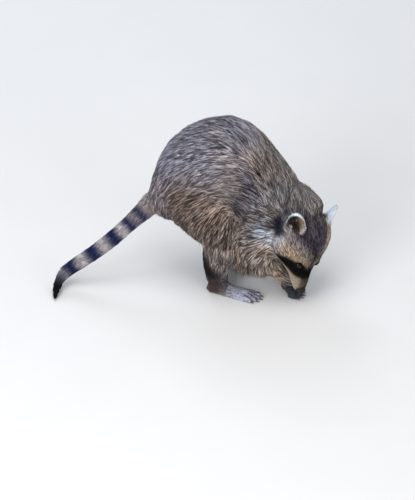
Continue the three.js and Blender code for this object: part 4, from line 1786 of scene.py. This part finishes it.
whisker_verts = []
whisker_along = []
whisker_corners = []
for sign in SIGN.values():
    for k in range(WHISKERS):
        row, column = divmod(k, 3)
        back, aside, high = FIRST_WHISKER
        back += COLUMN_GAP[0] * column
        aside += COLUMN_GAP[1] * column
        start = from_head(back, sign * aside, high - ROW_GAP * row)
        under = nearest_on_skin(start[None])[0]
        start = co[under] - normal[under] * WHISKER_SINK
        way = unit(normal[under] * 0.9 + sign * left_axis * 0.6 - forward * 0.25)
        bend = unit(-forward - 0.35 * dorsal)
        u1 = unit(np.cross(way, bend))
        u2 = np.cross(u1, way)
        long = WHISKER_LONG * rng.uniform(0.75, 1.1)
        base = len(whisker_verts)
        for t in np.linspace(0, 1, WHISKER_STEPS + 1):
            centre = start + long * (way * (t - 0.30 * t * t) + bend * 0.5 * t * t)
            centre[2] = max(centre[2], 1.0)
            r = WHISKER_HALF * (1 - 0.85 * t)
            for m in range(WHISKER_SIDES):
                a = 2 * math.pi * m / WHISKER_SIDES
                whisker_verts.append(centre + r * (math.cos(a) * u1 + math.sin(a) * u2))
                whisker_along.append(t)
        tube = np.array(round_quads(WHISKER_STEPS + 1, WHISKER_SIDES, base)).reshape(-1, 4)
        whisker_corners += tube[:, [0, 3, 2, 1]].ravel().tolist()
whisker_counts = [4] * (len(whisker_corners) // 4)
mesh = mesh_from("whiskers", np.array(whisker_verts), whisker_corners, whisker_counts)
set_attributes(mesh, {"along": np.array(whisker_along)})
whiskers = new_object("whiskers", mesh)
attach(whiskers, "root")
print("whiskers", 2 * WHISKERS)

# %% [markdown]
# ## Node helpers
# A material is a graph of small nodes. Adding each by hand takes several lines, so the helpers add
# one with its settings, link it, and hand back the socket that the next one needs.

# %% Node helpers
def join(tree, source, target):
    """A link between two sockets."""
    tree.links.new(source, target)


def feed(tree, value, socket):
    """A number or a colour set on a socket, or another socket linked to it."""
    if isinstance(value, (int, float, tuple)):
        socket.default_value = value
    else:
        join(tree, value, socket)


def settle(node, **settings):
    """A node's plain inputs, each by its name with lines for spaces."""
    for key, value in settings.items():
        node.inputs[key.replace("_", " ")].default_value = value


def math_node(tree, operation, a, b):
    """One sum on two values, each a number or a socket."""
    made = tree.nodes.new("ShaderNodeMath")
    made.operation = operation
    feed(tree, a, made.inputs[0])
    feed(tree, b, made.inputs[1])
    return made.outputs[0]


def scaled(tree, value, factor, plus):
    """A value times a number, plus a number or another value."""
    return math_node(tree, "ADD", math_node(tree, "MULTIPLY", value, factor), plus)


def mix_colour(tree, factor, a, b, blend="MIX"):
    """Two colours mixed, each a colour or a socket."""
    made = tree.nodes.new("ShaderNodeMix")
    made.data_type = "RGBA"
    made.blend_type = blend
    feed(tree, factor, made.inputs[0])
    feed(tree, a, made.inputs[6])
    feed(tree, b, made.inputs[7])
    return made.outputs[2]


def step_between(tree, value, low, high):
    """A smooth step from nothing at low to one at high."""
    made = tree.nodes.new("ShaderNodeMapRange")
    made.interpolation_type = "SMOOTHSTEP"
    settle(made, From_Min=low, From_Max=high)
    join(tree, value, made.inputs["Value"])
    return made.outputs[0]


def noise(tree, **settings):
    """Cloudy noise fixed to the piece, so that it doesn't slide over it."""
    made = tree.nodes.new("ShaderNodeTexNoise")
    settle(made, **settings)
    where = tree.nodes.new("ShaderNodeTexCoord")
    join(tree, where.outputs["Object"], made.inputs["Vector"])
    return made.outputs[0]


def new_group(name, ins, outs):
    """A shader node group with named inputs and outputs, and its two end nodes."""
    tree = bpy.data.node_groups.new(name, "ShaderNodeTree")
    for label, sort, value in ins:
        made = tree.interface.new_socket(label, in_out="INPUT", socket_type=sort)
        made.default_value = value
    for label, sort in outs:
        tree.interface.new_socket(label, in_out="OUTPUT", socket_type=sort)
    return tree, tree.nodes.new("NodeGroupInput"), tree.nodes.new("NodeGroupOutput")


print("node helpers ready")

# %% [markdown]
# ## A strand's colour
# A guard hair is dark at its root and pale near its tip, and each lock differs from the next.
# A texture can't follow single hairs, so the group works from what each tuft has stored: its marking,
# how streaky the coat is there, the place along the tuft and a random number.
# Groups hand over colours and values only; the shader's own settings stay in each material.

# %% Strand group
PALE_FROM = 0.50
PALE_TO = 1.02
PALE_GAIN = 2.3
DARK_LOSS = 0.42
DARKEST = 0.2
ROOT_SHADE = 0.62
WARM_TINT = (1.08, 0.99, 0.90, 1)

strand, strand_in, strand_out = new_group(
    "strand_colour",
    [
        ("Mark", "NodeSocketColor", (0.2, 0.2, 0.2, 1)),
        ("Streak", "NodeSocketFloat", 0.5),
        ("Along", "NodeSocketFloat", 0.5),
        ("Random", "NodeSocketFloat", 0.5),
    ],
    [("Colour", "NodeSocketColor"), ("Roughness", "NodeSocketFloat")],
)
mark, coarse_in, along_in, random_in = [strand_in.outputs[k] for k in range(4)]
drift = noise(strand, Scale=28.0, Detail=3.0, Roughness=0.55)
pale_share = step_between(strand, scaled(strand, drift, 0.3, random_in), PALE_FROM, PALE_TO)
darkest = math_node(strand, "SUBTRACT", 1.0, math_node(strand, "MULTIPLY", coarse_in, DARK_LOSS))
gain = strand.nodes.new("ShaderNodeMix")
gain.data_type = "FLOAT"
join(strand, pale_share, gain.inputs[0])
join(strand, math_node(strand, "MAXIMUM", darkest, DARKEST), gain.inputs[2])
join(strand, scaled(strand, coarse_in, PALE_GAIN, 1.0), gain.inputs[3])
root_gain = scaled(strand, step_between(strand, along_in, -0.25, 0.75), ROOT_SHADE, 1 - ROOT_SHADE)
whole_gain = math_node(strand, "MULTIPLY", gain.outputs[0], root_gain)
shade = strand.nodes.new("ShaderNodeCombineColor")
for socket in shade.inputs:
    join(strand, whole_gain, socket)
shaded = mix_colour(strand, 1.0, mark, shade.outputs[0], "MULTIPLY")
warm = step_between(strand, noise(strand, Scale=11.0, Detail=2.0), 0.45, 0.7)
warmth = math_node(strand, "MULTIPLY", warm, coarse_in)
warmed = mix_colour(strand, 1.0, shaded, WARM_TINT, "MULTIPLY")
join(strand, mix_colour(strand, warmth, shaded, warmed), strand_out.inputs[0])
join(strand, scaled(strand, random_in, 0.15, 0.5), strand_out.inputs[1])
print("groups", [g.name for g in bpy.data.node_groups])

# %% [markdown]
# ## Fine grain
# Bare skin and leather have a net of tiny creases. Real ones could be displaced, but they are a
# fraction of a millimetre deep, so a height for a bump is enough.

# %% Grain group
grain, grain_in, grain_out = new_group(
    "fine_grain",
    [("Scale", "NodeSocketFloat", 900.0), ("Coarse", "NodeSocketFloat", 120.0)],
    [("Height", "NodeSocketFloat")],
)
grain_place = grain.nodes.new("ShaderNodeTexCoord")
cells = grain.nodes.new("ShaderNodeTexVoronoi")
ripple = grain.nodes.new("ShaderNodeTexNoise")
for texture, scale in ((cells, "Scale"), (ripple, "Coarse")):
    join(grain, grain_place.outputs["Object"], texture.inputs["Vector"])
    join(grain, grain_in.outputs[scale], texture.inputs["Scale"])
join(grain, math_node(grain, "ADD", cells.outputs[0], ripple.outputs[0]), grain_out.inputs[0])
print("groups", [g.name for g in bpy.data.node_groups])

# %% [markdown]
# ## Fur and the skin under it
# Coat and skin read the same stored markings. Hair is dull with a little sheen along it.
# The skin under the coat is darker, because daylight hardly reaches it, and it borrows the strand
# group with a speckle in place of the random number, so that it doesn't show between tufts.

# %% Fur and skin materials
def new_material(name):
    """A material with a Principled shader, its tree and that shader."""
    made = bpy.data.materials.new(name)
    made.use_nodes = True
    tree = made.node_tree
    shader = next(n for n in tree.nodes if n.type == "BSDF_PRINCIPLED")
    return made, tree, shader


def use_group(tree, group):
    """A group node in a material."""
    made = tree.nodes.new("ShaderNodeGroup")
    made.node_tree = group
    return made


def stored(tree, name, output="Fac"):
    """A value stored on the mesh."""
    made = tree.nodes.new("ShaderNodeAttribute")
    made.attribute_name = name
    return made.outputs[output]


def bump_from(tree, shader, height, strength, distance):
    """A small relief on the shader's normal."""
    made = tree.nodes.new("ShaderNodeBump")
    settle(made, Strength=strength, Distance=distance)
    join(tree, height, made.inputs["Height"])
    join(tree, made.outputs[0], shader.inputs["Normal"])


def strand_on(tree, shader, along, random):
    """The strand group fed with the stored markings, over the shader's base colour."""
    made = use_group(tree, strand)
    join(tree, stored(tree, "mark", "Color"), made.inputs["Mark"])
    join(tree, stored(tree, "streak"), made.inputs["Streak"])
    join(tree, along, made.inputs["Along"])
    join(tree, random, made.inputs["Random"])
    join(tree, made.outputs["Colour"], shader.inputs["Base Color"])
    return made


def fur_material(name):
    """Strands coloured by the markings."""
    made, tree, shader = new_material(name)
    colour = strand_on(tree, shader, stored(tree, "along"), stored(tree, "random"))
    join(tree, colour.outputs["Roughness"], shader.inputs["Roughness"])
    settle(shader, Specular_IOR_Level=0.07, Sheen_Weight=0.03, Sheen_Roughness=0.5)
    return made


furs = {name: fur_material(name) for name in dict.fromkeys(row[-1] for row in PLAN)}
for name, _, _, _, slot_name in PLAN:
    coats[name].data.materials.append(furs[slot_name])

skin_material, tree, shader = new_material("skin_under_coat")
strand_on(tree, shader, stored(tree, "cover"), noise(tree, Scale=420.0, Detail=3.0))
settle(shader, Roughness=0.75, Specular_IOR_Level=0.2)
bump_from(tree, shader, use_group(tree, grain).outputs[0], 0.35, 0.0006)
print("fur materials", list(furs))

# %% [markdown]
# ## Bare skin, eye, horn and bristle
# The lids are matt black skin, the nose is moist leather, and the eye is wet and nearly black with a
# dark brown iris. Claws are horn with faint streaks, and whiskers are pale bristle.
# Each has a small variation of its own, as one flat colour looks like plastic.

# %% Other materials
def base_between(tree, shader, factor, low, high):
    """The base colour run from one colour to another by a value over the surface."""
    join(tree, mix_colour(tree, factor, low, high), shader.inputs["Base Color"])


lid_skin, tree, shader = new_material("lid_skin")
fine_relief = use_group(tree, grain).outputs[0]
base_between(tree, shader, fine_relief, (0.002, 0.002, 0.002, 1), (0.006, 0.005, 0.005, 1))
settle(shader, Roughness=0.8, Specular_IOR_Level=0.04)
bump_from(tree, shader, fine_relief, 0.4, 0.0003)

leather, tree, shader = new_material("nose_leather")
pebbles = use_group(tree, grain)
settle(pebbles, Scale=1500.0)
base_between(tree, shader, pebbles.outputs[0], (0.004, 0.004, 0.005, 1), (0.014, 0.012, 0.013, 1))
settle(shader, Roughness=0.5, Specular_IOR_Level=0.16, Coat_Weight=0.05, Coat_Roughness=0.3)
bump_from(tree, shader, pebbles.outputs[0], 0.5, 0.0004)

wet_eye, tree, shader = new_material("wet_eye")
angle = stored(tree, "off_axis")
iris_ring = math_node(
    tree, "MULTIPLY", step_between(tree, angle, 0.20, 0.26), step_between(tree, angle, 0.60, 0.48)
)
fleck = tree.nodes.new("ShaderNodeTexNoise")
settle(fleck, Scale=2600.0, Detail=2.0)
iris = mix_colour(tree, fleck.outputs[0], (0.008, 0.005, 0.003, 1), (0.020, 0.011, 0.007, 1))
base_between(tree, shader, iris_ring, (0.004, 0.004, 0.005, 1), iris)
settle(shader, Roughness=0.08, Specular_IOR_Level=0.15, Coat_Weight=0.10, Coat_Roughness=0.04)

horn, tree, shader = new_material("claw_horn")
streaks = noise(tree, Scale=700.0, Detail=3.0)
base_between(tree, shader, streaks, (0.022, 0.019, 0.018, 1), (0.075, 0.062, 0.055, 1))
join(tree, step_between(tree, streaks, -0.6, 1.6), shader.inputs["Roughness"])
bump_from(tree, shader, streaks, 0.3, 0.0003)

bristle, tree, shader = new_material("whisker_bristle")
base_between(tree, shader, stored(tree, "along"), (0.55, 0.52, 0.48, 1), (0.75, 0.73, 0.70, 1))
settle(shader, Roughness=0.4)

ground_material, tree, shader = new_material("pale_floor")
mottle = noise(tree, Scale=6.0, Detail=4.0)
base_between(tree, shader, mottle, (0.66, 0.655, 0.65, 1), (0.70, 0.695, 0.69, 1))
settle(shader, Roughness=0.85)
floor.data.materials.append(ground_material)
print("materials", len(bpy.data.materials))

# %% [markdown]
# ## Put the skin in place
# The skin stands for every solid of flesh. Claws keep their own solids, with rounded shading, as
# they are hard, separate things that need nothing more than horn.

# %% Skin and claws
COVER = [(2, 0.85), (6, 0.5), (20, 0.1)]
SKIN_STREAK = 0.5

skin_mesh.shade_smooth()
set_attributes(
    skin_mesh,
    {"mark": skin_colour, "streak": skin_streak * SKIN_STREAK, "cover": curve(length, COVER)},
)
skin = new_object("skin", skin_mesh)
skin.data.materials.clear()
skin.data.materials.append(skin_material)
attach(skin, "root")
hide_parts(*FLESH)
for piece in eyes:
    piece.data.materials.append(wet_eye)
for piece in lids:
    piece.data.materials.append(lid_skin)
nose.data.materials.append(leather)
whiskers.data.materials.append(bristle)
claws = sorted(n for n in nodes if "claw" in n)
for name in claws:
    claw = nodes[name]
    claw.data.materials.clear()
    claw.data.materials.append(horn)
    claw.data.shade_smooth()
print("claws", len(claws))

# %% [markdown]
# ## The room's own light
# Out of doors a pale sky lights every side a little. An even backdrop does the same here and keeps
# the shadows in the coat from going black.

# %% World
world = bpy.data.worlds.new("room")
bpy.context.scene.world = world
world.use_nodes = True
backdrop = world.node_tree.nodes["Background"]
backdrop.inputs["Color"].default_value = (0.80, 0.83, 0.88, 1)
backdrop.inputs["Strength"].default_value = 0.62
bpy.context.scene.view_settings.view_transform = "Standard"
print("backdrop", world.name)

# %% [markdown]
# ## At the end
# The view layer is brought up to date.

# %% Finish
bpy.context.view_layer.update()
